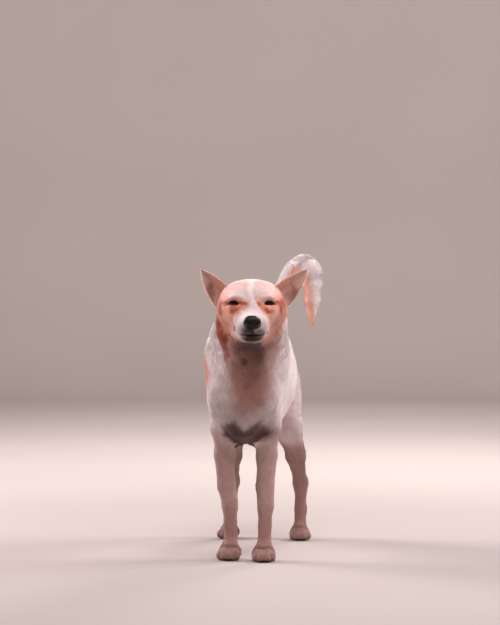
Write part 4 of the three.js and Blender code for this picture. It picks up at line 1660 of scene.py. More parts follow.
@dataclass(frozen=True)
class EyeFinish:
    """A dark brown iris behind a clear, wet cornea.

    Attributes:
        name: The material's name.
        centre: The middle of the eyeball.
        ahead: The way it looks.
        ball: The eyeball's radius, in metres.
    """

    name: str
    centre: tuple[float, float, float]
    ahead: tuple[float, float, float]
    ball: float

    def make(self) -> bpy.types.Material:
        """Builds the material.

        Returns:
            The material.
        """
        sockets = {"Roughness": 0.08, "IOR": 1.376, "Specular IOR Level": 0.45}
        shader = Shader(self.name, sockets)
        place = shader.add("TexCoord").outputs["Object"]
        off = shader.add("VectorMath", {"operation": "SUBTRACT"}, in0=place, in1=self.centre)
        along = shader.add(
            "VectorMath", {"operation": "DOT_PRODUCT"}, in0=off.outputs[0], in1=self.ahead
        )
        # The dot is the ball's radius at the pupil's middle and falls off outwards.
        reach = shader.add(
            "MapRange", Value=along.outputs["Value"], in1=self.ball, in2=self.ball * 0.4
        )
        fibre = shader.add("TexNoise", Vector=place, Scale=900.0, Detail=2.0)
        stops = (
            (0.0, "#050404"),  # pupil
            (0.13, "#060404"),
            (0.17, "#24140c"),  # iris
            (0.42, "#180d08"),
            (0.52, "#0c0706"),  # its dark ring
            (0.62, "#3a2a25"),  # white of the eye, in shade
            (1.0, "#6a4f48"),
        )
        iris = shader.add("ValToRGB", {"stops": stops}, Fac=reach.outputs[0])
        colour = shader.add(
            "Mix", TINT, in0=0.35, in6=iris.outputs["Color"], in7=fibre.outputs["Color"]
        )
        shader.feed("Base Color", colour.outputs[2])
        return shader.material


@dataclass(frozen=True)
class ClawFinish:
    """Claw horn: dark keratin, ribbed along its length and paler at the worn tip.

    Attributes:
        name: The material's name.
    """

    name: str = "claw_horn"

    def make(self) -> bpy.types.Material:
        """Builds the material.

        Returns:
            The material.
        """
        shader = Shader(self.name, {"Roughness": 0.42, "Specular IOR Level": 0.5})
        place = shader.add("TexCoord").outputs["Object"]
        # Growth ribs run along the claw, 0.7 mm apart.
        rib = shader.add("TexNoise", Vector=place, Scale=1400.0, Detail=1.0)
        height = shader.add("SeparateXYZ", Vector=place)
        low = shader.add("MapRange", Value=height.outputs["Z"], in1=2 * MM, in2=16 * MM)
        stops = (0.0, "#8d7568"), (0.35, "#5a463d"), (1.0, "#3c2f2a")
        colour = shader.add("ValToRGB", {"stops": stops}, Fac=low.outputs[0])
        shader.feed("Base Color", colour.outputs["Color"])
        bump = shader.add("Bump", Strength=0.3, Distance=0.3 * MM, Height=rib.outputs["Fac"])
        shader.feed("Normal", bump.outputs[0])
        return shader.material


@dataclass(frozen=True)
class StageFinish:
    """Matt painted board for the floor and the wall behind.

    Attributes:
        name: The material's name.
    """

    name: str = "stage_board"

    def make(self) -> bpy.types.Material:
        """Builds the material.

        Returns:
            The material.
        """
        shader = Shader(self.name, {"Roughness": 0.9, "Specular IOR Level": 0.15})
        place = shader.add("TexCoord").outputs["Object"]
        cloud = shader.add("TexNoise", Vector=place, Scale=0.8, Detail=2.0)
        stops = (0.3, "#b4acaa"), (0.7, "#b9b1ae")
        colour = shader.add("ValToRGB", {"stops": stops}, Fac=cloud.outputs["Fac"])
        shader.feed("Base Color", colour.outputs["Color"])
        return shader.material


# ---------------------------------------------------------------- eyes, nose and claws


@dataclass
class Eyes:
    """The eyeballs, each with a cornea that stands a little proud.

    Attributes:
        bulge: How far the cornea stands over the ball, in metres.
        droop: How far the dog looks down, as a slope.
    """

    bulge: float = 0.8 * MM
    droop: float = 0.03

    def build(self, lids: Eyelids) -> list[bpy.types.Object]:
        """Makes both eyes."""
        return [self._eye(side, lids) for side in Side]

    def _eye(self, side: Side, lids: Eyelids) -> bpy.types.Object:
        """Makes one eye, turned to look ahead.

        Args:
            side: The side of the head.
            lids: The eyelids, which give the way it looks.

        Returns:
            The eyeball.
        """
        node = f"eye_{side.word}"
        centre = middle(node)
        low, high = box_of(node)
        ball = (high[2] - low[2]) / 2
        ahead = lids.axes(side)[1] * (0.6, 1, 1) - (0, 0, self.droop)
        ahead = unit(ahead @ HEAD.axes)
        bpy.ops.object.select_all(action="DESELECT")
        bpy.ops.mesh.primitive_uv_sphere_add(segments=48, ring_count=32, radius=ball)
        piece = bpy.context.active_object
        piece.name = piece.data.name = f"eyeball_{side.word}"
        eye = Surface(piece)
        eye.co[:, 2] += self.bulge * ramp(eye.co[:, 2] / ball, 0.72, 1.0)
        eye.save()
        turn = Vector(ahead).to_track_quat("Z", "Y").to_matrix().to_4x4()
        piece.data.transform(Matrix.Translation(centre) @ turn)
        smooth(piece)
        finish = EyeFinish(node, tuple(centre), tuple(ahead), ball)
        dress(piece, finish.make(), "eye", node)
        log.info("eye %s: ball %.1f mm", side.word, 2 * ball / MM)
        return piece


@dataclass
class Nose:
    """The nose leather, with its wings, nostrils and the groove down its middle.

    Attributes:
        voxel: The spacing of its mesh.
    """

    voxel: float = 0.7 * MM

    def build(self) -> bpy.types.Object:
        """Makes the nose from its solid, smoothed and then carved.

        Returns:
            The nose.
        """
        piece = copy_of("nose", 0.3 * MM)
        piece.name = piece.data.name = "nose_pad"
        apply_modifier(piece, "SUBSURF", levels=2, render_levels=2)
        apply_modifier(piece, "REMESH", mode="VOXEL", voxel_size=self.voxel)
        pad = Surface(piece)
        pad.relax(np.full(pad.count, 14.0))
        half = HEAD.local(pad.co)
        facing = pad.normals() @ HEAD.axes.T
        half[:, 0] = np.abs(half[:, 0])
        lift, deep = self._carved(half)
        pad.co = pad.co + (facing * lift[:, None]) * MM @ HEAD.axes
        pad.save()
        store(piece.data, BARE, deep, "FLOAT")
        smooth(piece)
        dress(piece, NoseFinish().make(), "nose_leather", "nose")
        log.info("nose: %d points", pad.count)
        return piece

    @staticmethod
    def _carved(place: Array) -> tuple[Array, Array]:
        """How far the nose's skin is lifted, in millimetres, and how deep in a nostril it is.

        Args:
            place: Places on one half of the nose.

        Returns:
            The lift, and 1 in the nostrils, fading to 0.
        """

        def near(reach: float, *path: tuple[float, float, float]) -> Array:
            """1 on a path, falling off at its reach."""
            gap, _, _ = distance_to_path(place, np.array(path, float))
            return np.exp(-((gap / reach) ** 2))

        nostril = near(3.2, (6.8, -6.5, -2.0), (8.8, -5.5, -0.6))
        slit = near(1.5, (9.5, -4.5, -2.6), (13.0, -2.0, -4.8), (16.5, 2.0, -5.0))
        wing = near(3.4, (7.0, -8.0, 5.0), (13.0, -4.0, 3.2), (15.5, 0, -0.5))
        groove = near(1.2, (0, -10, 6), (0, -9, -4), (0, -6, -14))
        deep = np.clip(1.6 * nostril + 1.2 * slit, 0, 1)
        return -4.6 * nostril - 2.4 * slit + 0.9 * wing - 1.5 * groove, deep


@dataclass
class Claws:
    """The claws: one curved horn, modelled once and set at each toe.

    Attributes:
        length: The length of a claw.
        radius: Its radius at the root.
        worn: Its radius at the tip.
        curl: How far it bends, in radians.
        rings: How many rings of points it has between its ends.
    """

    length: float = 15 * MM
    radius: float = 2.5 * MM
    worn: float = 0.3 * MM
    curl: float = 0.7
    rings: int = 6

    def build(self) -> list[bpy.types.Object]:
        """Makes the claws of all four paws.

        Returns:
            The claws.
        """
        horn = self._horn()
        material = ClawFinish().make()
        made = [
            self._set(horn, claw, middle(paw), material) for paw in PAWS for claw in claws_of(paw)
        ]
        bpy.data.objects.remove(horn)
        log.info("claws: %d", len(made))
        return made

    def _horn(self) -> bpy.types.Object:
        """Models one claw that points up +Z and bends towards -Y.

        Returns:
            The claw, whose root is at the origin.
        """
        bpy.ops.object.select_all(action="DESELECT")
        bpy.ops.mesh.primitive_cone_add(
            vertices=12, radius1=self.radius, radius2=self.worn, depth=self.length
        )
        horn = bpy.context.active_object
        mesh = horn.data
        with editing():
            bpy.ops.mesh.select_all(action="DESELECT")
            bpy.ops.mesh.select_mode(type="EDGE")
        for edge in mesh.edges:
            a, b = (mesh.vertices[i].co for i in edge.vertices)
            edge.select = abs(a.z - b.z) > self.length / 2
        with editing():
            bpy.ops.mesh.subdivide(number_cuts=self.rings, smoothness=0)
        shape = Surface(horn)
        run = shape.co[:, 2] / self.length + 0.5
        shape.co[:, 0] *= 0.72
        shape.co[:, 1] *= 1.1 + 0.25 * np.sin(math.pi * run)
        turn = self.curl * run
        reach = self.length / self.curl
        off = shape.co[:, 1].copy()
        shape.co[:, 1] = reach * (np.cos(turn) - 1) + off * np.cos(turn)
        shape.co[:, 2] = reach * np.sin(turn) + off * np.sin(turn)
        shape.save()
        apply_modifier(horn, "SUBSURF", levels=1, render_levels=1)
        return horn

    def _set(
        self, horn: bpy.types.Object, node: str, paw: Array, material: bpy.types.Material
    ) -> bpy.types.Object:
        """Sets a copy of the horn where a claw's solid is, from its root down to its tip.

        Args:
            horn: The claw to copy.
            node: The claw's node.
            paw: The middle of its paw.
            material: The claw's material.

        Returns:
            The claw.
        """
        piece = added(f"horn_{node}", horn.data.copy())
        low, high = box_of(node)
        level = unit((middle(node) - paw) * (1, 1, 0))
        tip = middle(node) + level * 2.5 * MM
        tip[2] = low[2] - 1.0 * MM
        root = middle(node) - level * 6.5 * MM
        root[2] = high[2] - 1.5 * MM
        chord = unit(tip - root)
        over = unit(level - chord * (level @ chord))
        start = unit(chord * math.cos(self.curl / 2) + over * math.sin(self.curl / 2))
        bend = unit(np.cross(np.cross(start, chord), start))
        turn = Matrix(np.array([np.cross(-bend, start), -bend, start]).T.tolist()).to_4x4()
        piece.data.transform(Matrix.Translation(root) @ turn)
        smooth(piece)
        dress(piece, material, "claw", node)
        return piece


# ---------------------------------------------------------------- the coat


# A tuft is a flat blade with four corners: its root, its two sides and its tip. The first two
# triangles are its outer side, the next two its inner side, and the rim parts them.
TUFT_CORNERS = 4
TUFT_FACES = np.array([(0, 1, 2), (1, 3, 2), (0, 3, 1), (0, 2, 3)])
TUFT_OUTER = np.array([True, True, False, False])
TUFT_RIM = np.array([(0, 1), (0, 2), (1, 3), (2, 3)])
WIDEST = 0.42  # where a tuft is widest, as a share of its length
WIDEST_RISE = 0.6  # how high it stands there, as a share of the coat's depth


@dataclass(frozen=True)
class CoatPart:
    """One piece of the coat.

    Attributes:
        name: The piece's name.
        regions: The regions whose hair it holds.
        tufts: How many tufts it has.
        slot: The record's material slot.
        side: The side of the body that it is kept to, if any.
        reach: How far behind the nose it starts and ends, in millimetres.
    """

    name: str
    regions: tuple[Region, ...]
    tufts: int
    slot: str = "white_coat"
    side: Side | None = None
    reach: tuple[float, float] = EVERYWHERE


COAT = (
    CoatPart("coat_face", FACE, 45000, slot="tan_coat", reach=(EVERYWHERE[0], FACE_BACK)),
    CoatPart("coat_skull", FACE, 26000, slot="tan_coat", reach=(FACE_BACK, EVERYWHERE[1])),
    CoatPart("coat_ears", (Region.EAR,), 24000, slot="tan_coat"),
    CoatPart("coat_neck", (Region.NECK,), 32000),
    CoatPart("coat_trunk_left", (Region.TRUNK,), 42000, side=Side.LEFT),
    CoatPart("coat_trunk_right", (Region.TRUNK,), 42000, side=Side.RIGHT),
    CoatPart("coat_forelegs", (Region.FORELEG, Region.FOREPAW), 42000),
    CoatPart("coat_haunches", (Region.THIGH,), 32000),
    CoatPart("coat_hindlegs", (Region.SHANK, Region.HINDPAW), 36000),
    CoatPart("coat_tail", (Region.TAIL,), 15000),
)


@dataclass
class Plume:
    """The outline of the tail's hair, which follows the tail's curve and ends in a point.

    Attributes:
        runs: Places along the tail, as shares of its length.
        radii: The radius of the plume at each of them.
        dock: The radius of the tail under its hair, as a share of the plume's.
        wisp: How far the hair reaches past the tail's tip, in metres.
    """

    runs: Array
    radii: Array
    dock: float
    wisp: float = 10 * MM

    def spine(
        self, roots: "Roots", along: float, high: float, bend: Array
    ) -> tuple[Array, Array]:
        """The middle of each tuft at a share of its length.

        Args:
            roots: The tail's roots.
            along: The share of the tufts' length.
            high: How near to the plume's outline the tufts are there.
            bend: How the tufts bend sideways.

        Returns:
            The points, and the way out of the plume at each of them.
        """
        total = TAIL_LENGTH
        _, _, run = distance_to_path(roots.at, TAIL)
        start = along_path(TAIL, run)
        past = (run + along * roots.length / total) * total
        past = np.where(past > total, total + self.wisp * np.tanh((past - total) / self.wisp), past)
        place = past / total
        here = along_path(TAIL, place.clip(0, 1))
        way = unit(here - along_path(TAIL, (place - 0.02).clip(0, 0.98)))
        middle_line = here + way * (past - total).clip(0)[:, None]
        out = roots.at - start
        skin = self.dock * np.interp(run, self.runs, self.radii)
        oval = (np.linalg.norm(out, axis=1) / np.maximum(skin, 1 * MM)).clip(0.9, 1.3)
        out -= way * (out * way).sum(1)[:, None]
        out = unit(unit(out) + bend * 0.8 * along)
        spread = oval * roots.spread * (0.97 + 0.03 * high) + 0.1 * along * roots.stray
        radius = np.interp(place, self.runs, self.radii) * spread
        return middle_line + out * radius[:, None], out


# How much the tufts differ, as the least and the most share of their length, their width, their
# height over the skin and the girth of the tail.
LENGTHS, WIDTHS, HEIGHTS, GIRTHS = (0.75, 1.2), (0.7, 1.2), (0.6, 1.0), (0.99, 1.01)
STRAYS, TAIL_STRAYS = 0.02, 0.05  # the share of tufts that stand off their neighbours
STRAY_HEIGHT = 1.5  # how much higher they stand
JITTER, BEND, ROLL = 0.11, 0.09, 0.13  # how much tufts turn, bend and roll at random, in radians
LOCKS = ((0.13, 0.028), (0.1, 0.009))  # how far locks of hair turn, and how wide they are, in m
TONE = 0.045  # how much tufts differ in tone
LID_REACH, LID_LEAST = 5.5, 0.4  # by the eyes and the mouth hair grows from this share, over mm
CLAW_BARE, CLAW_REACH, CLAW_LEAST = 2, 9, 0.3  # and at the claws, from this far off


@dataclass
class Roots:
    """The places where tufts grow, and what each one takes from the skin there.

    Attributes:
        at: The roots' points.
        facing: The way the skin faces.
        lie: The way the hair lies.
        depth: How far the hair stands over the skin.
        colour: The coat's colour.
        length: The tufts' length.
        width: The tufts' width.
        uv: The roots' places on the unwrapped skin.
        edge: How near the eyes' openings or the mouth is, in millimetres.
        claws: How near a claw is, in millimetres.
        label: The region.
        plume: What shapes the hair of the tail, if this is the tail's.
    """

    at: Array
    facing: Array
    lie: Array
    depth: Array
    colour: Array
    length: Array
    width: Array
    uv: Array
    edge: Array
    claws: Array
    label: Array
    plume: "Plume | None" = None

    def _grown(self, rng: np.random.Generator) -> None:
        """Gives the hair its local length: short on the muzzle, by the eyes and at the claws,
        long on the cheeks, down the throat and behind the thighs.

        Args:
            rng: The source of random numbers.
        """
        local = HEAD.local(self.at)
        head = among(self.label, *FACE)
        muzzle = head * ramp(local[:, 1], 105, 60)
        nape = head * ramp(local[:, 1], 125, 165) * ramp(local[:, 2], -25, 5)
        self.length = self.length * (1 - 0.35 * muzzle) * (1 + 1.0 * nape)
        self.width = self.width * (1 - 0.25 * muzzle)
        self.length *= np.where(head, np.clip(self.edge / LID_REACH, LID_LEAST, 1), 1)
        self.length *= np.clip((self.claws - CLAW_BARE) / CLAW_REACH, CLAW_LEAST, 1)
        ahead = ramp(-self.facing[:, 1], 0.1, 0.7)
        self.length *= 1 + 0.15 * among(self.label, Region.NECK) * ahead
        breech = among(self.label, Region.THIGH) * ramp(self.facing[:, 1], 0.45, 0.9)
        elbow = among(self.label, Region.FORELEG) * ramp(self.facing[:, 1], 0.4, 0.9)
        self.length *= 1 + 0.9 * breech + 0.5 * elbow
        self.depth = self.depth * (1 + 0.7 * breech + 0.6 * elbow)
        n = len(self.at)
        self.length *= rng.uniform(*LENGTHS, n)
        self.width = self.width * rng.uniform(*WIDTHS, n)
        self.depth = self.depth * rng.uniform(*HEIGHTS, n)
        self.stray = rng.random(n) < (TAIL_STRAYS if self.plume else STRAYS)
        self.depth = np.where(self.stray & ~head, self.depth * STRAY_HEIGHT, self.depth)
        self.spread = rng.uniform(*GIRTHS, n)

    def _turned(self, rng: np.random.Generator) -> Array:
        """The direction of each tuft: the lie of the coat, swayed by locks and at random.

        Args:
            rng: The source of random numbers.

        Returns:
            The directions, one a row.
        """
        across = np.cross(self.facing, self.lie)
        sway = sum(w * Waves(size, SEED + 40 + i)(self.at) for i, (w, size) in enumerate(LOCKS))
        sway += rng.normal(0, JITTER, len(self.at))
        return unit(self.lie + across * sway[:, None])

    def _spine(self, along: float, high: float, lie: Array, bend: Array) -> tuple[Array, Array]:
        """The middle of each tuft at a share of its length, and the way out of the coat there.

        Args:
            along: The share of the tufts' length.
            high: How near to the coat's outline the tufts are there.
            lie: The tufts' directions.
            bend: How the tufts bend sideways.

        Returns:
            The points, and the directions.
        """
        if self.plume:
            return self.plume.spine(self, along, high, bend)
        centre = self.at + (lie + bend * along) * (self.length * along)[:, None]
        return centre + self.facing * (self.depth * high)[:, None], self.facing

    def grow(
        self, part: CoatPart, patch: float, sunk: float, rng: np.random.Generator
    ) -> bpy.types.Object:
        """Builds the tufts as one mesh.

        Args:
            part: The piece of the coat.
            patch: The size of a tuft's patch on the bake's map.
            sunk: How deep the roots are in the skin.
            rng: The source of random numbers.

        Returns:
            The mesh object.
        """
        self._grown(rng)
        lie, n = self._turned(rng), len(self.at)
        across = np.cross(self.facing, lie)
        bend = rng.normal(0, BEND, n)[:, None] * across
        roll = rng.normal(0, ROLL, n)[:, None]
        wide = across * np.cos(roll) + self.facing * np.sin(roll)
        centre, out = self._spine(WIDEST, WIDEST_RISE, lie, bend)
        tip, tip_out = self._spine(1.0, 1.0, lie, bend)
        half = wide * (self.width / 2)[:, None]
        root = self.at - self.facing * sunk
        points = np.stack([root, centre - half, centre + half, tip], 1)
        outward = np.stack([self.facing, out, out, tip_out], 1)
        tilt = np.stack([-0.1 * lie, -0.2 * wide, 0.2 * wide, 0.1 * lie], 1)
        normals = outward + tilt
        patches = np.array([(0, -0.5), (-0.5, WIDEST - 0.5), (0.5, WIDEST - 0.5), (0, 0.5)])
        # Each tuft is darker at its root, painted shade where the tufts over it cover it,
        shade = np.array([0.9, 0.96 + 0.03 * WIDEST, 0.96 + 0.03 * WIDEST, 1.02])
        # and a touch lighter at its tip.
        points[:, :, 2] = np.maximum(points[:, :, 2], FLOOR_GAP)
        tone = rng.normal(1, TONE, n) + TONE * Waves(0.016, SEED + 50)(self.at)
        colour = self.colour[:, None] * (tone[:, None] * shade)[:, :, None]
        uv = np.clip(self.uv, 0.002, 0.998)[:, None] + patches * patch
        under = unit(normals - 1.1 * outward + 0.8 * lie[:, None])[:, TUFT_FACES]
        facing = np.where(TUFT_OUTER[:, None, None], unit(normals)[:, TUFT_FACES], under)
        whole = (TUFT_FACES[None] + (np.arange(n) * TUFT_CORNERS)[:, None, None]).reshape(-1, 3)
        piece = tuft_mesh(
            part.name,
            points.reshape(-1, 3),
            whole,
            colour.reshape(-1, 3),
            uv.reshape(-1, 2),
            facing.reshape(-1, 3),
        )
        mark_rims(piece.data)
        return piece


def tuft_mesh(
    name: str, points: Array, faces: Array, colour: Array, uv: Array, facing: Array
) -> bpy.types.Object:
    """Makes a mesh object of many tufts.

    Args:
        name: The piece's name.
        points: The corners' points.
        faces: The triangles' corners.
        colour: Each corner's colour.
        uv: Each corner's place on the bake's map.
        facing: The shading normal of each triangle's three corners in turn, which keeps the
            coat's shade as smooth as the body's.

    Returns:
        The mesh object.
    """
    mesh = bpy.data.meshes.new(name)
    mesh.vertices.add(len(points))
    mesh.vertices.foreach_set("co", points.astype(np.float32).ravel())
    mesh.loops.add(faces.size)
    mesh.loops.foreach_set("vertex_index", faces.ravel())
    mesh.polygons.add(len(faces))
    mesh.polygons.foreach_set("loop_start", np.arange(0, faces.size, 3, dtype=np.int32))
    mesh.update(calc_edges=True)
    layer = mesh.uv_layers.new(name=BAKE_MAP)
    layer.uv.foreach_set("vector", uv[faces.ravel()].astype(np.float32).ravel())
    store(mesh, HUE, colour, "FLOAT_COLOR")
    normal = mesh.attributes.new("custom_normal", "FLOAT_VECTOR", "CORNER")
    normal.data.foreach_set("vector", facing.astype(np.float32).ravel())
    return added(name, mesh)


def mark_rims(mesh: bpy.types.Mesh) -> None:
    """Marks the rims of all tufts sharp, so that their two sides are shaded apart.

    Args:
        mesh: The tufts' mesh.
    """
    ends = np.sort(read(mesh.edges, "vertices", 2) % TUFT_CORNERS, axis=1)
    sharp = np.isin(ends @ (TUFT_CORNERS, 1), TUFT_RIM @ (TUFT_CORNERS, 1))
    edge = mesh.attributes.new("sharp_edge", "BOOLEAN", "EDGE")
    edge.data.foreach_set("value", sharp)


@dataclass
class Coat:
    """Tufts of hair rooted over the skin.

    Attributes:
        skin: The skin's surface.
        maker: What grew the skin, with its labels and depths.
        look: The skin's colours, lie and bare places, by name.
        patch: The size of a tuft's patch on the bake's map.
        sunk: How deep a tuft's root is in the skin.
    """

    skin: Surface
    maker: Skin
    look: dict[str, Array]
    patch: float = 0.003
    sunk: float = 0.4 * MM

    def build(self) -> list[bpy.types.Object]:
        """Makes every piece of the coat.

        Returns:
            The pieces.
        """
        mesh = self.skin.piece.data
        mesh.calc_loop_triangles()
        self.tris = read(mesh.loop_triangles, "vertices", 3)
        self.loops = read(mesh.loop_triangles, "loops", 3)
        self.facing = self.skin.normals()
        self.material = HairFinish().make()
        self._unwrap()
        return [self._part(part, i) for i, part in enumerate(COAT)]

    def _mine(self, part: CoatPart, point: Array) -> Array:
        """Which of these points of the skin belong to a piece of the coat.

        Args:
            part: The piece of the coat.
            point: The points, as their places on the skin.

        Returns:
            Whether each belongs to it.
        """
        at = self.skin.co[point]
        mine = among(self.maker.labels[point], *part.regions)
        if part.side:
            mine &= part.side.value * (at[:, 0] - MIDLINE) > 0
        back = HEAD.local(at)[:, 1]
        return mine & (back > part.reach[0]) & (back <= part.reach[1])

    def _unwrap(self) -> None:
        """Unwraps the skin for the bake, one piece of the coat at a time."""
        mesh = self.skin.piece.data
        corner = read(mesh.loops, "vertex_index")[read(mesh.polygons, "loop_start")]
        mesh.uv_layers.new(name=ROOT_MAP)
        only(self.skin.piece)
        for part in COAT:
            mesh.polygons.foreach_set("select", self._mine(part, corner))
            with editing():
                bpy.ops.mesh.select_mode(type="FACE")
                bpy.ops.uv.smart_project(angle_limit=1.15, island_margin=0.002)
        self.uv = read(mesh.uv_layers[ROOT_MAP].uv, "vector", 2, np.float32)
        mesh.uv_layers.remove(mesh.uv_layers[ROOT_MAP])

    def _part(self, part: CoatPart, number: int) -> bpy.types.Object:
        """Makes one piece of the coat.

        Args:
            part: What the piece holds.
            number: Its place in COAT, which seeds its draws.

        Returns:
            The piece.
        """
        rng = np.random.default_rng(SEED + number)
        bare, inner = self.look["bare"], self.look["inner"]
        a, b, c = self.skin.co[self.tris].transpose(1, 0, 2)
        area = np.linalg.norm(np.cross(b - a, c - a), axis=1) / 2
        width = self.maker.per_region(self.skin, lambda g: g.width, 12)
        length = self.maker.per_region(self.skin, lambda g: g.length, 12)
        weight = area * self._mine(part, self.tris[:, 0]) * (bare[self.tris].max(1) < 0.5)
        weight *= (1 - 0.5 * inner[self.tris[:, 0]]) / width[self.tris[:, 0]] ** 1.4
        ends = np.cumsum(weight)
        picks = (np.arange(part.tufts) + rng.random(part.tufts)) / part.tufts * ends[-1]
        face = np.searchsorted(ends, picks).clip(0, len(ends) - 1)
        u, v = in_triangle(rng, part.tufts)
        share = np.stack([1 - u - v, u, v], 1)[:, :, None]

        def at_root(values: Array) -> Array:
            """A value of the skin's points, at the tufts' roots."""
            rows = values[self.tris[face]]
            return (rows * (share if rows.ndim == 3 else share[:, :, 0])).sum(1)

        roots = Roots(
            at=at_root(self.skin.co),
            facing=unit(at_root(self.facing)),
            lie=unit(at_root(self.look["lie"])),
            depth=at_root(self.maker.depth),
            colour=at_root(self.look["colour"]),
            length=at_root(length) * MM,
            width=at_root(width) * MM,
            uv=(self.uv[self.loops[face]] * share).sum(1),
            edge=at_root(self.maker.edge),
            claws=at_root(self.maker.claws),
            label=self.maker.labels[self.tris[face][:, 0]],
            plume=self.maker.plume if Region.TAIL in part.regions else None,
        )
        piece = roots.grow(part, self.patch, self.sunk, rng)
        dress(piece, self.material, part.slot)
        log.info("%s: %d tufts, %d triangles", part.name, part.tufts, len(piece.data.polygons))
        return piece


# ---------------------------------------------------------------- the studio


@dataclass(frozen=True)
class SoftBox:
    """A square light that faces a target.

    Attributes:
        name: The light's name.
        at: Where it hangs.
        target: What it faces.
        size: The length of its side.
        power: Its power, in watts.
        colour: Its colour.
    """

    name: str
    at: tuple[float, float, float]
    target: tuple[float, float, float]
    size: float
    power: float
    colour: str

    def build(self) -> None:
        """Adds the light."""
        data = bpy.data.lights.new(self.name, "AREA")
        data.size, data.energy, data.color = self.size, self.power, linear(self.colour)
        lamp = added(self.name, data)
        lamp.location = self.at
        look = Vector(self.target) - Vector(self.at)
        lamp.rotation_euler = look.to_track_quat("-Z", "Y").to_euler()


# Broad soft lights above, behind both sides and behind the tail, and weak ones ahead.
SOFT_BOXES = (
    SoftBox("top_light", (0.3, -1.5, 2.9), (0, -0.15, 0.4), 1.3, 44, "#fff9f8"),
    SoftBox("left_light", (2.7, 1.2, 1.9), (0, 0, 0.4), 1.5, 72, "#fff8f8"),
    SoftBox("key_light", (2.0, -1.5, 1.9), (0.05, 0.1, 0.52), 1.0, 9, "#fff8f8"),
    SoftBox("right_light", (-2.7, 1.1, 1.9), (0, 0, 0.4), 1.5, 115, "#fff6f6"),
    SoftBox("rim_light", (0.9, 2.6, 2.1), (0.05, 0.3, 0.5), 0.9, 45, "#fff6f2"),
    SoftBox("front_light", (0.8, -4.2, 1.0), (0, -0.2, 0.4), 1.8, 10, "#ffd9cc"),
    SoftBox("wall_light", (0, 2.6, 3.6), (0, 8.0, 1.2), 2.5, 220, "#fff6f4"),
)


@dataclass
class Studio:
    """The floor with its round wall, the lights and the camera.

    Attributes:
        lens: The camera's lens on a 36 mm sensor, in millimetres.
        distance: How far the camera is from the dog's withers.
        azimuth: How far it stands round towards the dog's left, in degrees.
        height: Its height over the floor.
        across: How far it is shifted sideways.
        pitch: How far it looks down, in degrees.
        withers: What it stands round.
        radius: The radius of the floor.
        wall: The height of the wall.
        bend: The radius of the curve between them.
        turns: How many faces the stage has round it.
        sky: The colour of the light from all round.
        glow: Its strength.
    """

    lens: float = 135.0
    distance: float = 4.75
    azimuth: float = 5.75
    height: float = 0.55
    across: float = 0.0101
    pitch: float = 0.584
    withers: tuple[float, float, float] = (-0.01746, -0.09089, -0.00015)
    radius: float = 8.0
    wall: float = 4.0
    bend: float = 1.2
    turns: int = 96
    sky: str = "#f4d8cf"
    glow: float = 0.26

    def build(self) -> None:
        """Makes the stage, the lights and the camera."""
        self._stage()
        self._camera()
        for box in SOFT_BOXES:
            box.build()
        scene = bpy.context.scene
        scene.view_settings.view_transform = "Standard"
        world = bpy.data.worlds.new("studio_sky")
        scene.world = world
        world.use_nodes = True
        sky = world.node_tree.nodes["Background"]
        sky.inputs["Color"].default_value = (*linear(self.sky), 1)
        sky.inputs["Strength"].default_value = self.glow

    def _stage(self) -> None:
        """A round floor that curves up into a wall, turned from one profile."""
        flat, bend = self.radius - self.bend, self.bend
        arc = np.linspace(0, math.pi / 2, 9)
        profile = [(0.0, 0.0), (flat, 0.0)]
        profile += [(flat + bend * math.sin(t), bend - bend * math.cos(t)) for t in arc[1:]]
        profile.append((self.radius, self.wall))
        points, faces, k = [], [], len(profile)
        for i in range(self.turns):
            a, j = 2 * math.pi * i / self.turns, (i + 1) % self.turns
            points += [(r * math.cos(a), r * math.sin(a), z) for r, z in profile]
            faces += [(i * k + m, j * k + m, j * k + m + 1, i * k + m + 1) for m in range(k - 1)]
        mesh = bpy.data.meshes.new("cove")
        mesh.from_pydata(points, [], faces)
        piece = added("cove", mesh)
        only(piece)
        with editing():
            bpy.ops.mesh.select_all(action="SELECT")
            bpy.ops.mesh.remove_doubles(threshold=MM)
            bpy.ops.mesh.normals_make_consistent(inside=True)
        smooth(piece)
        mesh.materials.append(StageFinish().make())

    def _camera(self) -> None:
        """Stands the camera in front of the dog, nearly level with its eyes."""
        a, p = math.radians(self.azimuth), math.radians(self.pitch)
        ahead = Vector((-math.sin(a), math.cos(a), 0))
        right = Vector((math.cos(a), math.sin(a), 0))
        data = bpy.data.cameras.new("camera")
        data.lens, data.sensor_width, data.sensor_fit = self.lens, 36.0, "AUTO"
        data.clip_start, data.clip_end = 0.1, 60
        camera = added("camera", data)
        camera.location = Vector(self.withers) - ahead * self.distance + right * self.across
        camera.location.z += self.height
        look = ahead * math.cos(p) - Vector((0, 0, math.sin(p)))
        camera.rotation_euler = look.to_track_quat("-Z", "Y").to_euler()
        bpy.context.scene.camera = camera


# ---------------------------------------------------------------- the whole dog


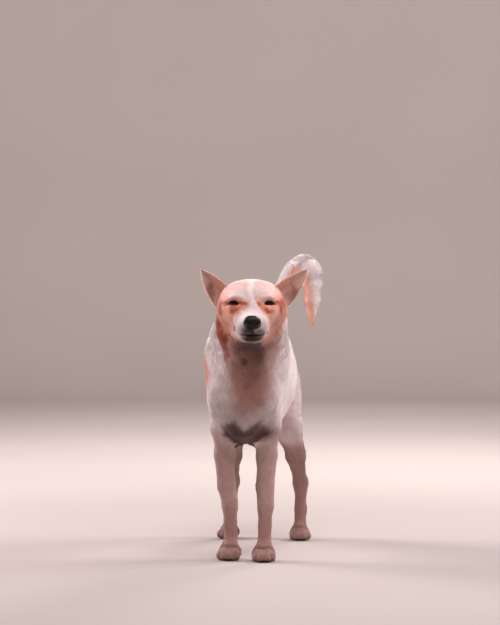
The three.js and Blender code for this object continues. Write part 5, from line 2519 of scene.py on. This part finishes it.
@dataclass
class Dog:
    """The dressed dog: skin, eyes, nose, claws and coat.

    Attributes:
        maker: What grows the skin.
    """

    maker: Skin = field(default_factory=Skin)

    def build(self) -> None:
        """Builds every piece in order."""
        skin = self.maker.build()
        look = self._marked(skin)
        Eyes().build(self.maker.lids)
        Nose().build()
        Claws().build()
        Coat(skin, self.maker, look).build()

    def _marked(self, skin: Surface) -> dict[str, Array]:
        """Gives the skin its markings.

        Args:
            skin: The skin's surface.

        Returns:
            The colours of the coat, its lie, the bare places and the ears' insides, by name.
        """
        maker = self.maker
        facing = skin.normals()
        inner = self._ear_inside(skin, facing)
        lie = Lie().over(skin, maker.labels, maker.node, facing)
        bare = np.maximum(maker.bare, self._pads(skin, facing))
        colour = Markings().colours(skin.co, maker.labels, inner, self._limbs(skin))
        under = mix(colour, Hue.BLACK.rgb, bare)
        # Where hair grows the skin is a touch darker than the coat, painted shade under the tufts.
        store(skin.piece.data, HUE, mix(under * 0.95, under, bare), "FLOAT_COLOR")
        store(skin.piece.data, BARE, bare, "FLOAT")
        store(skin.piece.data, LIE, lie, "FLOAT_VECTOR")
        smooth(skin.piece)
        dress(skin.piece, HideFinish().make(), "white_coat", *NODES)
        count = sum(len(p.vertices) - 2 for p in skin.piece.data.polygons)
        log.info("skin: %d points, %d triangles", skin.count, count)
        return {"colour": colour, "lie": lie, "bare": bare, "inner": inner}

    def _limbs(self, skin: Surface) -> Array:
        """0 on the body, rising down the legs to 1, with soft steps between the regions.

        Args:
            skin: The skin's surface.

        Returns:
            One number for each point.
        """
        share = {Region.FORELEG: 0.75, Region.THIGH: 0.3, Region.SHANK: 0.9}
        share |= {Region.FOREPAW: 1.0, Region.HINDPAW: 1.0}
        steps = np.array([share.get(region, 0.0) for region in REGIONS])
        return skin.spread(steps[self.maker.labels], 70)

    def _ear_inside(self, skin: Surface, facing: Array) -> Array:
        """1 on the inside of the ears, where they open forward."""
        ear = among(self.maker.labels, Region.EAR)
        ahead = (facing @ HEAD.axes.T)[:, 1]
        return skin.spread(ear * ramp(ahead, 0.0, -0.35), 2)

    def _pads(self, skin: Surface, facing: Array) -> Array:
        """1 on the pads under the paws."""
        paw = among(self.maker.labels, Region.FOREPAW, Region.HINDPAW)
        return paw * ramp(facing[:, 2], -0.6, -0.85) * (skin.co[:, 2] < 8 * MM)


def main() -> None:
    """Builds the studio and the dog, and reports each piece."""
    logging.basicConfig(level=logging.INFO, format="%(name)s: %(message)s", force=True)
    bpy.ops.object.select_all(action="DESELECT")
    Studio().build()
    Dog().build()


if __name__ == "__main__":
    main()
